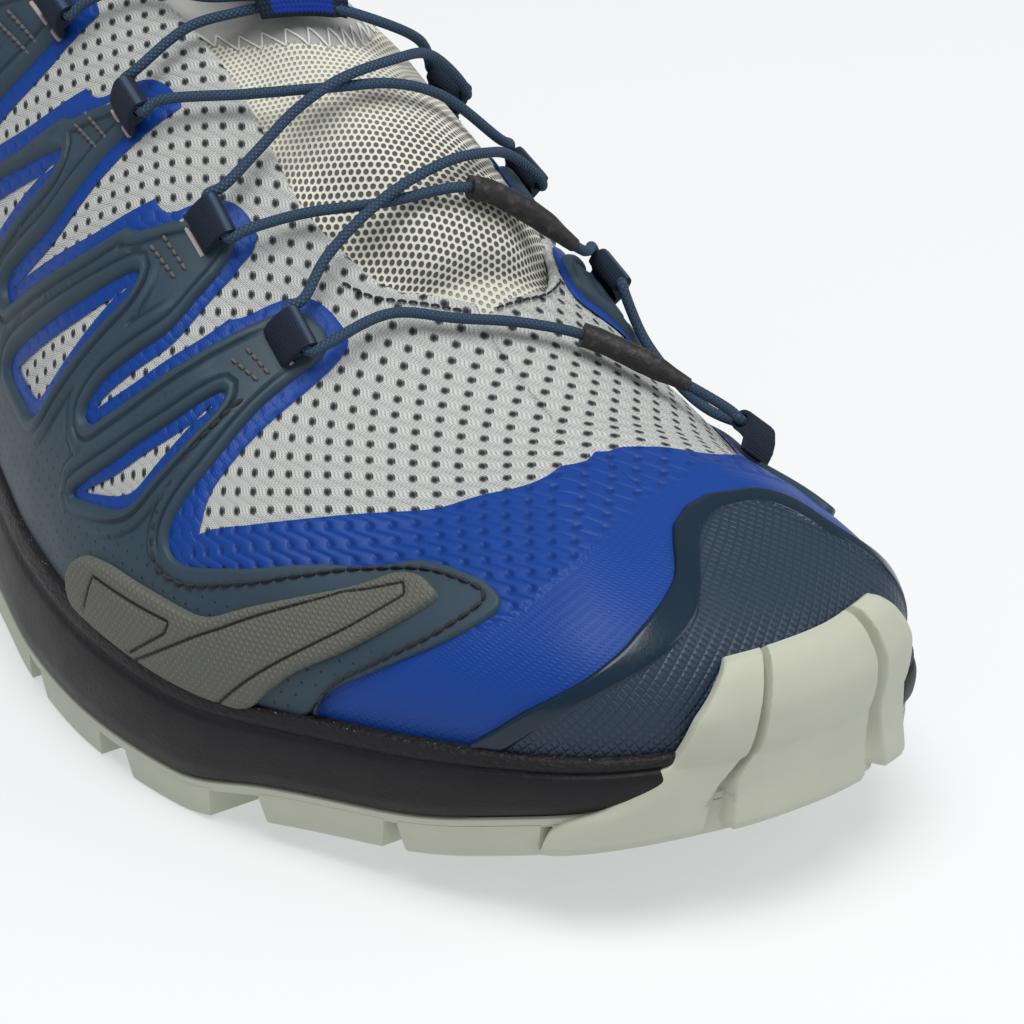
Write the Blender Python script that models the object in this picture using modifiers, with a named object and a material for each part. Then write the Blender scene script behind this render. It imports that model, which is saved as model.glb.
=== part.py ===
"""Right trail running shoe, in metres: +X to the toe, +Y to the inner side, +Z up.

The shoe stands on the plane Z = 0, with its length and its width centred on the origin. Its skin is worked out from a
ring of sections: a place on it is a station, counted in section rows from the heel (0) along the outer side to
the toe (TOE) and back along the inner side, and a climb, from 0 at the sole's edge to 1 on the ridge of the last.
"""
import math
from collections import namedtuple

import bmesh
import bpy
import numpy as np
from mathutils import Matrix, Vector
from mathutils.geometry import delaunay_2d_cdt

# Driving sizes
LENGTH = 0.298
BALL_WIDTH = 0.110
HEEL_SOLE = 0.045        # floor to the upper's edge at the heel
INSTEP = 0.132           # floor to the ridge at the top of the instep
TOE_SPRING = 0.018       # floor to the sole at the toe
LUG = 0.005              # tread depth
SHEET = 0.002            # outsole between its lugs
WALL = 0.002             # upper
COLLAR_PAD = 0.006       # what the padding adds to the wall at the collar
PADDED_ROWS = (3.3, 4.0)         # section rows over which the padding fades to the throat
PADDED_CLIMB = (0.42, 0.75, 0.9) # shares of the wall's height: the padding's start, its full depth, and its lip
OVERLAY = 0.0012         # cage, toe cap and heel counter
GUARD = 0.0015
BUMPER = 0.0026
INSOLE = 0.0045
RIM = 0.007              # sole's edge to the dish
FOOT_DEPTH = 0.017       # upper's edge down to the dish floor at the heel
DISH_SLOPE = 0.0025      # how far the dish's side leans in
INSOLE_ROUND = (0.7, 0.0004, 0.0008)     # where its edge is widest, and how far it leans out to there and in above it
SEAT = 0.0035            # sole's edge to the skin's foot
LACE = 0.0023
LACE_STEP = 2.2          # lace's own widths between the places where it can bend
STRAP = 0.0008           # webbing of the lace loops
LOOP_WIDTH = 0.0095
SLEEVE_WALL = 0.0007
KEEPER_WIDTH = 0.011
GAP = 0.0003
LIFT = 0.0008            # an overlay's clearance over the skin, where flat facets cross a curve
BED = 0.0005             # outsole to midsole, for the same reason

Section = namedtuple("Section", "along outer inner bite spine reach crown rise crown_in crown_drop")

# A row for each section, heel to toe. along and spine are shares of LENGTH, outer and inner of BALL_WIDTH,
# bite of HEEL_SOLE, and crown, rise and crown_drop of INSTEP. reach is the share of the way to the spine.
SECTIONS = (
    Section(0.000, 0.000, 0.000, 1.000, 0.160, 0.24, 0.848, 0.136, 0.35, 0.167),
    Section(0.026, 0.218, 0.200, 0.978, 0.160, 0.24, 0.848, 0.136, 0.35, 0.167),
    Section(0.094, 0.350, 0.327, 0.933, 0.170, 0.25, 0.848, 0.136, 0.35, 0.167),
    Section(0.200, 0.377, 0.345, 0.867, 0.230, 0.55, 0.909, 0.152, 0.35, 0.136),
    Section(0.335, 0.377, 0.314, 0.800, 0.335, 1.00, 1.000, 0.227, 0.45, 0.030),
    Section(0.470, 0.414, 0.336, 0.722, 0.470, 1.00, 0.864, 0.239, 0.45, 0.000),
    Section(0.587, 0.500, 0.423, 0.644, 0.587, 1.00, 0.773, 0.220, 0.42, 0.000),
    Section(0.670, 0.523, 0.468, 0.589, 0.667, 1.00, 0.633, 0.170, 0.42, 0.000),
    Section(0.755, 0.491, 0.477, 0.556, 0.742, 1.00, 0.492, 0.178, 0.42, 0.000),
    Section(0.840, 0.395, 0.473, 0.600, 0.800, 1.00, 0.458, 0.129, 0.45, 0.004),
    Section(0.915, 0.295, 0.455, 0.667, 0.800, 1.00, 0.458, 0.133, 0.45, 0.011),
    Section(0.967, 0.182, 0.391, 0.711, 0.800, 1.00, 0.458, 0.148, 0.45, 0.019),
    Section(0.995, 0.014, 0.218, 0.727, 0.800, 1.00, 0.458, 0.129, 0.45, 0.026),
    Section(1.000, -0.109, 0.109, 0.738, 0.800, 1.00, 0.458, 0.121, 0.45, 0.026),
)
TOE = len(SECTIONS) - 1
AROUND = 2 * TOE
SWELL = 0.003            # how far the wall leans out as it leaves the sole

# The ridge's place across the shoe: share of LENGTH along, share of BALL_WIDTH to the inner side
RIDGE = ((0.0, 0.0), (0.30, 0.009), (0.50, 0.050), (0.67, 0.095), (0.80, 0.068), (1.0, 0.109))

# The tread's lowest line: share of LENGTH along, share of TOE_SPRING up
SOLE_LINE = ((0.0, 0.33), (0.06, 0.08), (0.12, 0.0), (0.74, 0.0), (0.80, 0.22), (0.88, 0.42), (0.94, 0.71), (1.0, 1.0))

# The dish floor below the upper's edge: section row, share of FOOT_DEPTH
DISH = ((0, 1.0), (3, 0.92), (5, 0.70), (8, 0.55), (TOE, 0.50))

# The side of the midsole: share of its height, metres out from the ring
SIDE = ((0.0, -0.0014), (0.22, -0.0003), (0.50, 0.0), (0.70, -0.0004), (0.76, -0.0011), (0.84, -0.0006), (1.0, -0.0012))

# The upper's top edge: station, climb, round the collar and the throat
TOP_EDGE = (
    (0.0, 0.80), (1.0, 0.79), (2.0, 0.68), (2.5, 0.56), (3.0, 0.47), (3.5, 0.45), (4.0, 0.50), (4.3, 0.62),
    (4.55, 0.73), (4.9, 0.78), (5.7, 0.80), (6.6, 0.79), (7.1, 0.82), (7.35, 0.86), (7.65, 1.0),
    (18.35, 1.0), (18.65, 0.82), (18.9, 0.77), (19.4, 0.77), (20.3, 0.79), (21.1, 0.77), (21.45, 0.73),
    (21.7, 0.62), (22.0, 0.50), (22.5, 0.45), (23.0, 0.47), (23.5, 0.56), (24.0, 0.68), (25.0, 0.79), (26.0, 0.80),
)
THROAT_FRONT = (7.35, 7.65)      # stations where the throat begins to close and where it ends
UPPER_CLIMBS = (0.0, 0.08, 0.17, 0.27, 0.38, 0.49, 0.60, 0.71, 0.81, 0.91, 1.0)

Tongue = namedtuple("Tongue", "spine rise thick half")
# A row for each fold of the tongue, front to top: place along the ridge as a share of LENGTH, how far the
# middle rises over its edges, its thickness, and its half width as a share of the climb
TONGUE = (
    Tongue(0.745, 0.0000, 0.0020, 0.20),
    Tongue(0.718, 0.0000, 0.0024, 0.26),
    Tongue(0.704, 0.0004, 0.0028, 0.30),
    Tongue(0.692, 0.0040, 0.0030, 0.32),
    Tongue(0.674, 0.0056, 0.0030, 0.33),
    Tongue(0.645, 0.0050, 0.0030, 0.33),
    Tongue(0.610, 0.0034, 0.0030, 0.33),
    Tongue(0.590, 0.0028, 0.0036, 0.33),
    Tongue(0.574, 0.0042, 0.0060, 0.33),
    Tongue(0.500, 0.0046, 0.0080, 0.33),
    Tongue(0.440, 0.0050, 0.0090, 0.33),
    Tongue(0.385, 0.0056, 0.0090, 0.31),
    Tongue(0.362, 0.0046, 0.0060, 0.27),
)
TONGUE_THIN = 0.4                # how much thinner its edges are than its middle
TONGUE_CLEAR = 0.0009            # upper's inner face to the tongue
TONGUE_ACROSS = (-1.0, -0.76, -0.50, -0.25, 0.0, 0.25, 0.50, 0.76, 1.0)
TONGUE_RISE = (0.2, 0.8)         # where the rise begins to fall and where it ends: shares of the throat's half width

# Outlines on the skin: station, climb
CAGE_EDGE = (
    (1.45, 0.03), (3.0, 0.03), (5.0, 0.03), (7.0, 0.03), (8.80, 0.03), (8.97, 0.11), (9.37, 0.23), (9.68, 0.31),
    (10.04, 0.41), (10.05, 0.45), (9.85, 0.49), (9.45, 0.51), (9.16, 0.51), (8.53, 0.41), (8.17, 0.32),
    (7.73, 0.25), (7.58, 0.25), (7.49, 0.28), (7.47, 0.34), (7.51, 0.45), (7.50, 0.58), (7.52, 0.75), (7.40, 0.765),
    (7.12, 0.71), (6.74, 0.725), (6.36, 0.715), (5.86, 0.725), (5.52, 0.71), (5.09, 0.725), (4.66, 0.71),
    (4.30, 0.52), (3.90, 0.38), (3.2, 0.33), (2.2, 0.36), (1.45, 0.40),
)
# The gaps between the fingers, open at the throat, and the closed windows in them
CAGE_GAPS = (
    ((6.70, 0.76), (6.68, 0.52), (6.40, 0.36), (6.36, 0.30), (6.48, 0.30), (6.70, 0.40), (6.96, 0.56), (7.13, 0.76)),
    ((5.78, 0.76), (5.56, 0.56), (5.44, 0.42), (5.17, 0.28), (5.26, 0.255), (5.84, 0.47), (6.27, 0.68), (6.34, 0.76)),
    ((5.03, 0.76), (4.84, 0.56), (4.62, 0.40), (4.34, 0.26), (4.44, 0.24), (5.00, 0.46), (5.42, 0.67), (5.50, 0.76)),
)
CAGE_WINDOWS = (
    ((7.24, 0.55), (7.29, 0.52), (7.24, 0.41), (7.14, 0.28), (7.01, 0.245), (6.48, 0.175), (6.80, 0.30), (7.07, 0.43)),
    ((6.25, 0.53), (6.28, 0.49), (6.12, 0.36), (5.93, 0.22), (5.83, 0.19), (5.40, 0.18), (5.47, 0.23), (5.90, 0.39)),
    ((5.28, 0.52), (5.30, 0.48), (5.14, 0.38), (4.92, 0.23), (4.82, 0.19), (4.40, 0.17), (4.46, 0.22), (4.88, 0.38)),
)
LATERAL_GUARD_EDGE = (
    (6.75, 0.035), (6.86, 0.11), (7.11, 0.15), (7.60, 0.165), (8.05, 0.17), (8.64, 0.34), (9.09, 0.46), (9.30, 0.465),
    (9.49, 0.43), (9.52, 0.41), (9.35, 0.35), (8.98, 0.22), (8.71, 0.13), (8.47, 0.035),
)
TOE_CAP_EDGE = (
    (9.98, 0.035), (10.35, 0.13), (10.89, 0.23), (11.23, 0.31), (11.44, 0.38), (11.79, 0.47), (12.06, 0.53),
    (12.40, 0.61), (12.76, 0.66), (13.50, 0.69), (14.27, 0.69), (14.88, 0.63), (15.11, 0.55), (14.97, 0.45),
    (15.10, 0.34), (15.45, 0.18), (15.60, 0.035), (14.98, 0.035), (14.72, 0.12), (13.0, 0.11), (11.65, 0.11),
    (11.20, 0.035),
)
COUNTER_EDGE = (
    (24.75, 0.03), (26.0, 0.03), (27.25, 0.03), (27.20, 0.30), (27.05, 0.48), (26.5, 0.58), (26.0, 0.61),
    (25.5, 0.58), (24.95, 0.48), (24.80, 0.30),
)
PLAN = Vector((0.028, 0.075))    # about what one station and the whole climb measure on the shoe
LATTICE = (0.45, 0.12)           # stations and climb between the inner points of an overlay
FACET = 0.011                    # longest straight side of an overlay's edge

# Lugs along the edge: first and last station of each, the same on both sides
LUGS = (
    (0.25, 1.10), (1.35, 2.10), (2.35, 3.00), (3.25, 3.95), (4.75, 5.10), (5.25, 5.95), (6.15, 7.05), (7.35, 8.12),
    (8.48, 9.35), (9.45, 10.55), (10.65, 11.45), (11.60, 12.60),
)
# Columns of the tread, as shares of the way across, and which of the spaces between them carry lugs
TREAD_COLUMNS = (0.0, 0.21, 0.30, 0.46, 0.54, 0.70, 0.79, 1.0)
LUG_COLUMNS = (0, 2, 4, 6)
CHEVRON = 0.008          # how far the middle lugs lean to the toe
CHEVRON_WIDTH = 1.6      # how soon the lean fades to the sides: 1 reaches the edge
CHEVRON_ENDS = (0.1, 0.2)        # shares of LENGTH at the heel and the toe over which it fades
LUG_TAPER = 0.93
TREAD_END = 0.12         # stations from the heel's and the toe's middle to the sheet's first and last line

Bumper = namedtuple("Bumper", "left right out climb level")
# The toe bumper from its foot to its lip: the stations of its two ends, metres out from the ring below the
# upper's edge or from the skin above it, the climb, and below the edge the share of the height there
BUMPER_ROWS = (
    Bumper(11.33, 14.70, -0.0003, 0.00, 0.00),
    Bumper(11.40, 14.70, 0.0000, 0.00, 0.35),
    Bumper(11.58, 14.69, 0.0000, 0.00, 0.85),
    Bumper(11.80, 14.66, 0.0051, 0.12, None),
    Bumper(12.00, 14.58, 0.0050, 0.22, None),
    Bumper(12.15, 14.46, 0.0043, 0.30, None),
)
# Across the bumper: share of the way from its left end, and how deep the surface is there, in shares of its wall
BUMPER_ACROSS = (
    (0.0, 0.45), (0.07, 0.10), (0.19, 0.05), (0.225, 0.60), (0.26, 0.0), (0.40, 0.0), (0.55, 0.0), (0.70, 0.0),
    (0.84, 0.05), (0.875, 0.60), (0.91, 0.10), (1.0, 0.45),
)
BUMPER_CLEAR = 0.0027    # skin to the back of the bumper, past the toe cap
BUMPER_FOOT = 0.3        # its lowest edge over the lugs' feet, as a share of LUG
SETBACK = (11.10, 11.25)  # the stations, on either side, where the midsole steps back behind the bumper

Loop = namedtuple("Loop", "name station climb turn")
# The lace loops: the place of each one's eye, and how far it is turned from pointing up the skin, in degrees
LOOPS = (
    Loop("lateral_loop_1", 7.27, 0.690, 0),
    Loop("lateral_loop_2", 6.43, 0.672, 0),
    Loop("lateral_loop_3", 5.57, 0.665, 0),
    Loop("lateral_loop_4", 4.83, 0.660, 0),
    Loop("medial_loop_0", 17.22, 0.45, 90),
    Loop("medial_loop_1", 18.90, 0.48, 0),
    Loop("medial_loop_2", 19.70, 0.51, 0),
    Loop("medial_loop_3", 20.30, 0.58, 0),
    Loop("medial_loop_4", 21.17, 0.62, 0),
)

LOOP_BASE = OVERLAY + 2 * LIFT   # skin to the underside of a loop
EYE = LACE / 2 + GAP
EYE_HEIGHT = LOOP_BASE + STRAP + EYE
EYE_SIDES = 8
HUMP_SIDES = 5
HUMP_ARC = (-45, 180)            # the hump round the eye: where it starts and how far it goes, in degrees
TAIL = (2.9, 0.45, 2.0)          # the loop's foot behind and before the eye in shares of the hump, its straps' number

Way = namedtuple("Way", "spine across out")
# The lace's two strands, from the loop at the toe to the top ones: the loops that each runs through, and its way
# between them. spine is the place along the ridge as a share of LENGTH, across the climb left to the ridge (minus
# on the outer side), and out the metres over the skin. Where the strands cross, one lies on the other.
STRAND_A = (
    "medial_loop_0",
    (Way(0.767, 0.33, 0.0040), Way(0.745, 0.20, 0.0036), Way(0.731, 0.07, 0.0030), Way(0.719, -0.06, 0.0028),
     Way(0.706, -0.16, 0.0034)),
    "lateral_loop_1",
    (Way(0.673, -0.215, 0.0044), Way(0.664, -0.10, 0.0063), Way(0.658, 0.02, 0.0062), Way(0.650, 0.17, 0.0044),
     Way(0.636, 0.32, 0.0036)),
    "medial_loop_2",
    (Way(0.628, 0.31, 0.0036), Way(0.622, 0.14, 0.0040), Way(0.617, 0.02, 0.0042), Way(0.610, -0.075, 0.0042),
     Way(0.592, -0.19, 0.0038)),
    "lateral_loop_3",
    (Way(0.538, -0.20, 0.0040), Way(0.550, -0.12, 0.0040), Way(0.556, -0.07, 0.0042), Way(0.545, 0.04, 0.0050),
     Way(0.510, 0.18, 0.0042)),
    "medial_loop_4",
)
STRAND_B = (
    "medial_loop_0",
    (Way(0.760, 0.60, 0.0040), Way(0.730, 0.54, 0.0038), Way(0.706, 0.46, 0.0040)),
    "medial_loop_1",
    (Way(0.692, 0.31, 0.0054), Way(0.680, 0.18, 0.0054), Way(0.671, 0.05, 0.0058), Way(0.664, -0.10, 0.0044),
     Way(0.650, -0.21, 0.0036)),
    "lateral_loop_2",
    (Way(0.616, -0.22, 0.0040), Way(0.612, -0.15, 0.0048), Way(0.610, -0.075, 0.0061), Way(0.607, 0.05, 0.0052),
     Way(0.592, 0.22, 0.0040)),
    "medial_loop_3",
    (Way(0.580, 0.23, 0.0042), Way(0.586, 0.09, 0.0052), Way(0.574, 0.0, 0.0056), Way(0.556, -0.07, 0.0061),
     Way(0.530, -0.15, 0.0046), Way(0.490, -0.22, 0.0038)),
    "lateral_loop_4",
)
# The points of the second and of the first strand that the two sleeves on the lace cover
SLEEVE_1 = (15, 19)
SLEEVE_2 = (3, 6)
HOLD_A = 0.95            # where the strands start in the first loop: shares of the way from where each leaves it
HOLD_B = 0.5
SLIM = 0.8               # the second strand's width where it starts inside the first
SLEEVE_ROOM = 0.0006     # lace to the inside of a sleeve
LAST_HOLD = 0.6          # how far into its last loop each strand runs
EYE_REACH = 0.0016       # how far the lace runs straight on past a loop
# The keeper over the crossing on the tongue: place along the ridge, metres over the skin
KEEPER = ((0.593, 0.0030), (0.586, 0.0062), (0.576, 0.0083), (0.544, 0.0083), (0.526, 0.0062), (0.513, 0.0032))
KEEPER_ACROSS = -0.07
KEEPER_THICK = 0.001

# Driving sizes end here. The shoe's middle is moved onto the origin.
ORIGIN = Vector((-LENGTH / 2, (SECTIONS[7].outer - SECTIONS[8].inner) * BALL_WIDTH / 2, 0.0))


def smooth_column(places, values):
    """A curve through a column that rises and falls only where its rows do."""
    places = np.asarray(places, float)
    values = np.asarray(values, float)
    steps = np.diff(places)
    slopes = np.diff(values) / steps
    tangents = np.zeros(len(values))
    for i in range(1, len(places) - 1):
        if slopes[i - 1] * slopes[i] > 0:
            before = 2 * steps[i] + steps[i - 1]
            after = steps[i] + 2 * steps[i - 1]
            tangents[i] = (before + after) / (before / slopes[i - 1] + after / slopes[i])
    tangents[0] = slopes[0]
    tangents[-1] = slopes[-1]

    def value(place):
        i = int(np.clip(np.searchsorted(places, place) - 1, 0, len(steps) - 1))
        t = float(np.clip((place - places[i]) / steps[i], 0, 1))
        start = (1 + 2 * t) * (1 - t) ** 2 * values[i] + t * (1 - t) ** 2 * steps[i] * tangents[i]
        end = t ** 2 * (3 - 2 * t) * values[i + 1] - t ** 2 * (1 - t) * steps[i] * tangents[i + 1]
        return float(start + end)
    return value


def table_curve(rows):
    return smooth_column([row[0] for row in rows], [row[1] for row in rows])


COLUMN = {name: smooth_column(range(TOE + 1), [getattr(row, name) for row in SECTIONS]) for name in Section._fields}
RING = [Vector((row.along * LENGTH, -row.outer * BALL_WIDTH)) for row in SECTIONS]
RING += [Vector((row.along * LENGTH, row.inner * BALL_WIDTH)) for row in SECTIONS[-2:0:-1]]
sole_share = table_curve(SOLE_LINE)
dish_share = table_curve(DISH)
side_out = table_curve(SIDE)
top_climb = table_curve(TOP_EDGE)


def row_of(station):
    """How many section rows from the heel a station is, on either side."""
    station = station % AROUND
    return min(station, AROUND - station)


def curve_through(points, place):
    """A closed curve through the points, at a place counted in points; it doesn't overshoot close ones."""
    count = len(points)
    first = math.floor(place)
    t = place - first
    a, b, c, d = (points[(first + k) % count] for k in (-1, 0, 1, 2))
    ab, bc, cd = (math.sqrt((q - p).length) for p, q in ((a, b), (b, c), (c, d)))
    leave = (c - b) + bc * ((b - a) / ab - (c - a) / (ab + bc))
    arrive = (c - b) + bc * ((d - c) / cd - (d - b) / (bc + cd))
    cube = 2 * b - 2 * c + leave + arrive
    square = 3 * c - 3 * b - 2 * leave - arrive
    return ((cube * t + square) * t + leave) * t + b


def ring(station, out=0.0):
    """The sole's outline in plan, moved out by some metres."""
    step = 0.001
    tangent = (curve_through(RING, station + step) - curve_through(RING, station - step)).normalized()
    return curve_through(RING, station) + Vector((tangent.y, -tangent.x)) * out


def bite(station):
    """Height of the upper's edge."""
    return COLUMN["bite"](row_of(station)) * HEEL_SOLE


def sole_height(x):
    """Height of the tread's lowest line."""
    return sole_share(x / LENGTH) * TOE_SPRING


def side_point(station, out, height):
    flat = ring(station, out)
    return Vector((flat.x, flat.y, height))


def rib_point(station, climb):
    row = row_of(station)
    foot = ring(station, -SEAT)
    spine = COLUMN["spine"](row)
    across = np.interp(spine, [p[0] for p in RIDGE], [p[1] for p in RIDGE])
    ridge = Vector((spine * LENGTH, across * BALL_WIDTH))
    inward = ridge - foot
    run = COLUMN["reach"](row) * inward.length
    inward.normalize()
    low = bite(station)
    crown = COLUMN["crown"](row) * INSTEP
    handles = (
        (0.0, low),
        (-SWELL, low + COLUMN["rise"](row) * INSTEP),
        (run * COLUMN["crown_in"](row), crown - COLUMN["crown_drop"](row) * INSTEP),
        (run, crown),
    )
    weights = ((1 - climb) ** 3, 3 * (1 - climb) ** 2 * climb, 3 * (1 - climb) * climb ** 2, climb ** 3)
    reach = sum(weight * handle[0] for weight, handle in zip(weights, handles))
    height = sum(weight * handle[1] for weight, handle in zip(weights, handles))
    return Vector((foot.x + inward.x * reach, foot.y + inward.y * reach, height))


def skin_frame(station, climb):
    """The skin's place there, its run towards the toe or back, its run up to the ridge, and its outward normal."""
    step = 0.01
    near = min(climb, 0.985)
    run = (rib_point(station + step, near) - rib_point(station - step, near)).normalized()
    up = rib_point(station, near + step) - rib_point(station, near - step)
    normal = run.cross(up).normalized()
    return rib_point(station, climb), run, normal.cross(run), normal


def skin(station, climb, out=0.0):
    place, _, _, normal = skin_frame(station, climb)
    return place + normal * out


def station_of_spine(spine):
    low, high = 3.6, 9.0
    for _ in range(40):
        middle = (low + high) / 2
        if COLUMN["spine"](middle) < spine:
            low = middle
        else:
            high = middle
    return low


def top_point(spine, across, out=0.0):
    """A point over the instep: its place along the ridge, and the climb left to the ridge on either side."""
    station = station_of_spine(spine)
    if across > 0:
        station = AROUND - station
    return skin(station, 1 - abs(across), out)


def ease(value, low, high):
    t = min(max((value - low) / (high - low), 0.0), 1.0)
    return t * t * (3 - 2 * t)


def half_stations():
    """Stations from the heel to the toe: two a row, less one that is close to the throat's front end."""
    places = [i / 2 for i in range(2 * TOE + 1) if i / 2 != 7.5]
    return sorted(places + [*THROAT_FRONT, *SETBACK])


def all_stations():
    half = half_stations()
    return half + [AROUND - place for place in half[-2:0:-1]]


def new_collection(name):
    collection = bpy.data.collections.new(name)
    bpy.context.scene.collection.children.link(collection)
    return collection


def new_material(name, colour, roughness):
    material = bpy.data.materials.new(name)
    material.use_nodes = True
    shader = material.node_tree.nodes["Principled BSDF"]
    shader.inputs["Base Color"].default_value = (*colour, 1.0)
    shader.inputs["Roughness"].default_value = roughness
    shader.inputs["Metallic"].default_value = 0.0
    return material


def add_object(name, mesh, material):
    piece = bpy.data.objects.new(name, mesh)
    PARTS.objects.link(piece)
    mesh.materials.append(material)
    piece.location = ORIGIN
    return piece


def mesh_from(name, points, faces, merge=0.0):
    mesh = bpy.data.meshes.new(name)
    mesh.from_pydata([tuple(point) for point in points], [], faces)
    shell = bmesh.new()
    shell.from_mesh(mesh)
    if merge:
        bmesh.ops.remove_doubles(shell, verts=shell.verts, dist=merge)
    shell.to_mesh(mesh)
    shell.free()
    mesh.shade_smooth()
    mesh.set_sharp_from_angle(angle=math.radians(35))
    return mesh


def face_outward(mesh):
    shell = bmesh.new()
    shell.from_mesh(mesh)
    bmesh.ops.triangulate(shell, faces=shell.faces)
    bmesh.ops.recalc_face_normals(shell, faces=shell.faces)
    shell.to_mesh(mesh)
    shell.free()


def thicken(piece, thickness, group=None, least=0.0):
    solid = piece.modifiers.new("wall", "SOLIDIFY")
    solid.thickness = thickness
    solid.offset = -1.0
    if group:
        solid.vertex_group = group
        solid.thickness_vertex_group = least


def loop_faces(rings, count):
    """Faces between closed rings of equal length, listed from the first ring to the last."""
    faces = []
    for level in range(rings - 1):
        for i in range(count):
            j = (i + 1) % count
            faces.append((level * count + i, level * count + j, (level + 1) * count + j, (level + 1) * count + i))
    return faces


def cap_faces(first, count, up):
    """A cap across a ring that starts at the heel, as rungs from one side to the other."""
    faces = []
    for i in range(count // 2):
        corners = [first + i, first + i + 1, first + (count - i - 1) % count, first + (count - i) % count]
        corners = list(dict.fromkeys(corners))
        faces.append(tuple(corners if up else reversed(corners)))
    return faces


def ring_solid(name, levels, material):
    """A closed solid from rings of points, listed from its underside to its top."""
    count = len(levels[0])
    points = [point for level in levels for point in level]
    faces = loop_faces(len(levels), count)
    faces += cap_faces(0, count, up=False)
    faces += cap_faces((len(levels) - 1) * count, count, up=True)
    mesh = mesh_from(name, points, faces)
    face_outward(mesh)
    return add_object(name, mesh, material)


def setback(station):
    """How far the midsole stands back behind the toe bumper."""
    return ease(row_of(station), *SETBACK) * (BUMPER + GAP)


def sheet_top(x):
    return sole_height(x) + LUG + SHEET


def dish_floor(station):
    row = row_of(station)
    return bite(station) - dish_share(row) * FOOT_DEPTH


def midsole(material):
    stations = all_stations()
    levels = []
    for share, _ in SIDE:
        level = []
        for station in stations:
            out = side_out(share) - setback(station)
            low = sheet_top(ring(station).x) + BED
            top = bite(station) - GAP
            level.append(side_point(station, out, low + (top - low) * share))
        levels.append(level)
    levels.append([side_point(station, -RIM, bite(station) - GAP) for station in stations])
    levels.append([side_point(station, -RIM - DISH_SLOPE, dish_floor(station)) for station in stations])
    return ring_solid("midsole", levels, material)


def insole(material):
    stations = all_stations()
    edge = RIM + DISH_SLOPE + GAP
    widest, lean_out, lean_in = INSOLE_ROUND
    levels = [
        [side_point(station, out - edge, dish_floor(station) + GAP + INSOLE * level) for station in stations]
        for level, out in ((0.0, 0.0), (widest, lean_out), (1.0, -lean_in))
    ]
    return ring_solid("insole", levels, material)


def tread_rows():
    """Stations of the tread's cross lines, with a middle line in each long lug."""
    rows = [TREAD_END]
    for first, last in LUGS:
        rows += [first, (first + last) / 2, last]
    return rows + [TOE - TREAD_END]


def tread_point(station, share, height_over_floor):
    outer = ring(station, SIDE[0][1])
    inner = ring(AROUND - station, SIDE[0][1])
    flat = outer.lerp(inner, share)
    heel, toe = CHEVRON_ENDS
    ends = ease(flat.x, 0.0, heel * LENGTH) * ease(LENGTH - flat.x, 0.0, toe * LENGTH)
    lean = CHEVRON * max(0.0, 1 - abs(2 * share - 1) * CHEVRON_WIDTH) * ends
    return Vector((flat.x + lean, flat.y, sole_height(flat.x) + height_over_floor))


def tread_sheet():
    """The sheet with its lugs drawn down from its underside."""
    rows = tread_rows()
    width = len(TREAD_COLUMNS)
    under = [tread_point(station, share, LUG) for station in rows for share in TREAD_COLUMNS]
    over = [tread_point(station, share, LUG + SHEET) for station in rows for share in (0.0, 1.0)]
    points = under + over
    top = len(under)
    faces = []
    lug_cells = []
    for i in range(len(rows) - 1):
        lug = any(first - 1e-6 < rows[i] and rows[i + 1] < last + 1e-6 for first, last in LUGS)
        for j in range(width - 1):
            if lug and j in LUG_COLUMNS:
                lug_cells.append(len(faces))
            faces.append((i * width + j, i * width + j + 1, (i + 1) * width + j + 1, (i + 1) * width + j))
    for i in range(len(rows) - 1):
        faces.append((top + 2 * i, top + 2 * i + 2, top + 2 * i + 3, top + 2 * i + 1))
        faces.append((i * width, (i + 1) * width, top + 2 * i + 2, top + 2 * i))
        faces.append((i * width + width - 1, top + 2 * i + 1, top + 2 * i + 3, (i + 1) * width + width - 1))
    for first, corner in ((0, top), ((len(rows) - 1) * width, top + 2 * len(rows) - 2)):
        faces += [(first + j, first + j + 1, corner) for j in range(width - 1)]
        faces.append((first + width - 1, corner + 1, corner))
    mesh = mesh_from("outsole", points, faces)
    shell = bmesh.new()
    shell.from_mesh(mesh)
    bmesh.ops.recalc_face_normals(shell, faces=shell.faces)
    shell.faces.ensure_lookup_table()
    halves = [[shell.faces[cell] for cell in cells] for cells in paired_cells(lug_cells, width - 1)]
    for lug in halves:
        drawn = bmesh.ops.extrude_face_region(shell, geom=lug)
        foot = [item for item in drawn["geom"] if isinstance(item, bmesh.types.BMVert)]
        middle = sum((vert.co for vert in foot), Vector()) / len(foot)
        for vert in foot:
            vert.co.x = middle.x + (vert.co.x - middle.x) * LUG_TAPER
            vert.co.y = middle.y + (vert.co.y - middle.y) * LUG_TAPER
            vert.co.z = sole_height(vert.co.x)
        bmesh.ops.delete(shell, geom=[face for face in lug if face.is_valid], context="FACES")
    bmesh.ops.triangulate(shell, faces=shell.faces)
    bmesh.ops.recalc_face_normals(shell, faces=shell.faces)
    shell.to_mesh(mesh)
    shell.free()
    return mesh


def paired_cells(cells, width):
    """The two halves of each lug, one behind the other in the same column."""
    known = set(cells)
    pairs = []
    while known:
        first = min(known)
        pairs.append((first, first + width))
        known -= {first, first + width}
    return pairs


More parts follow.
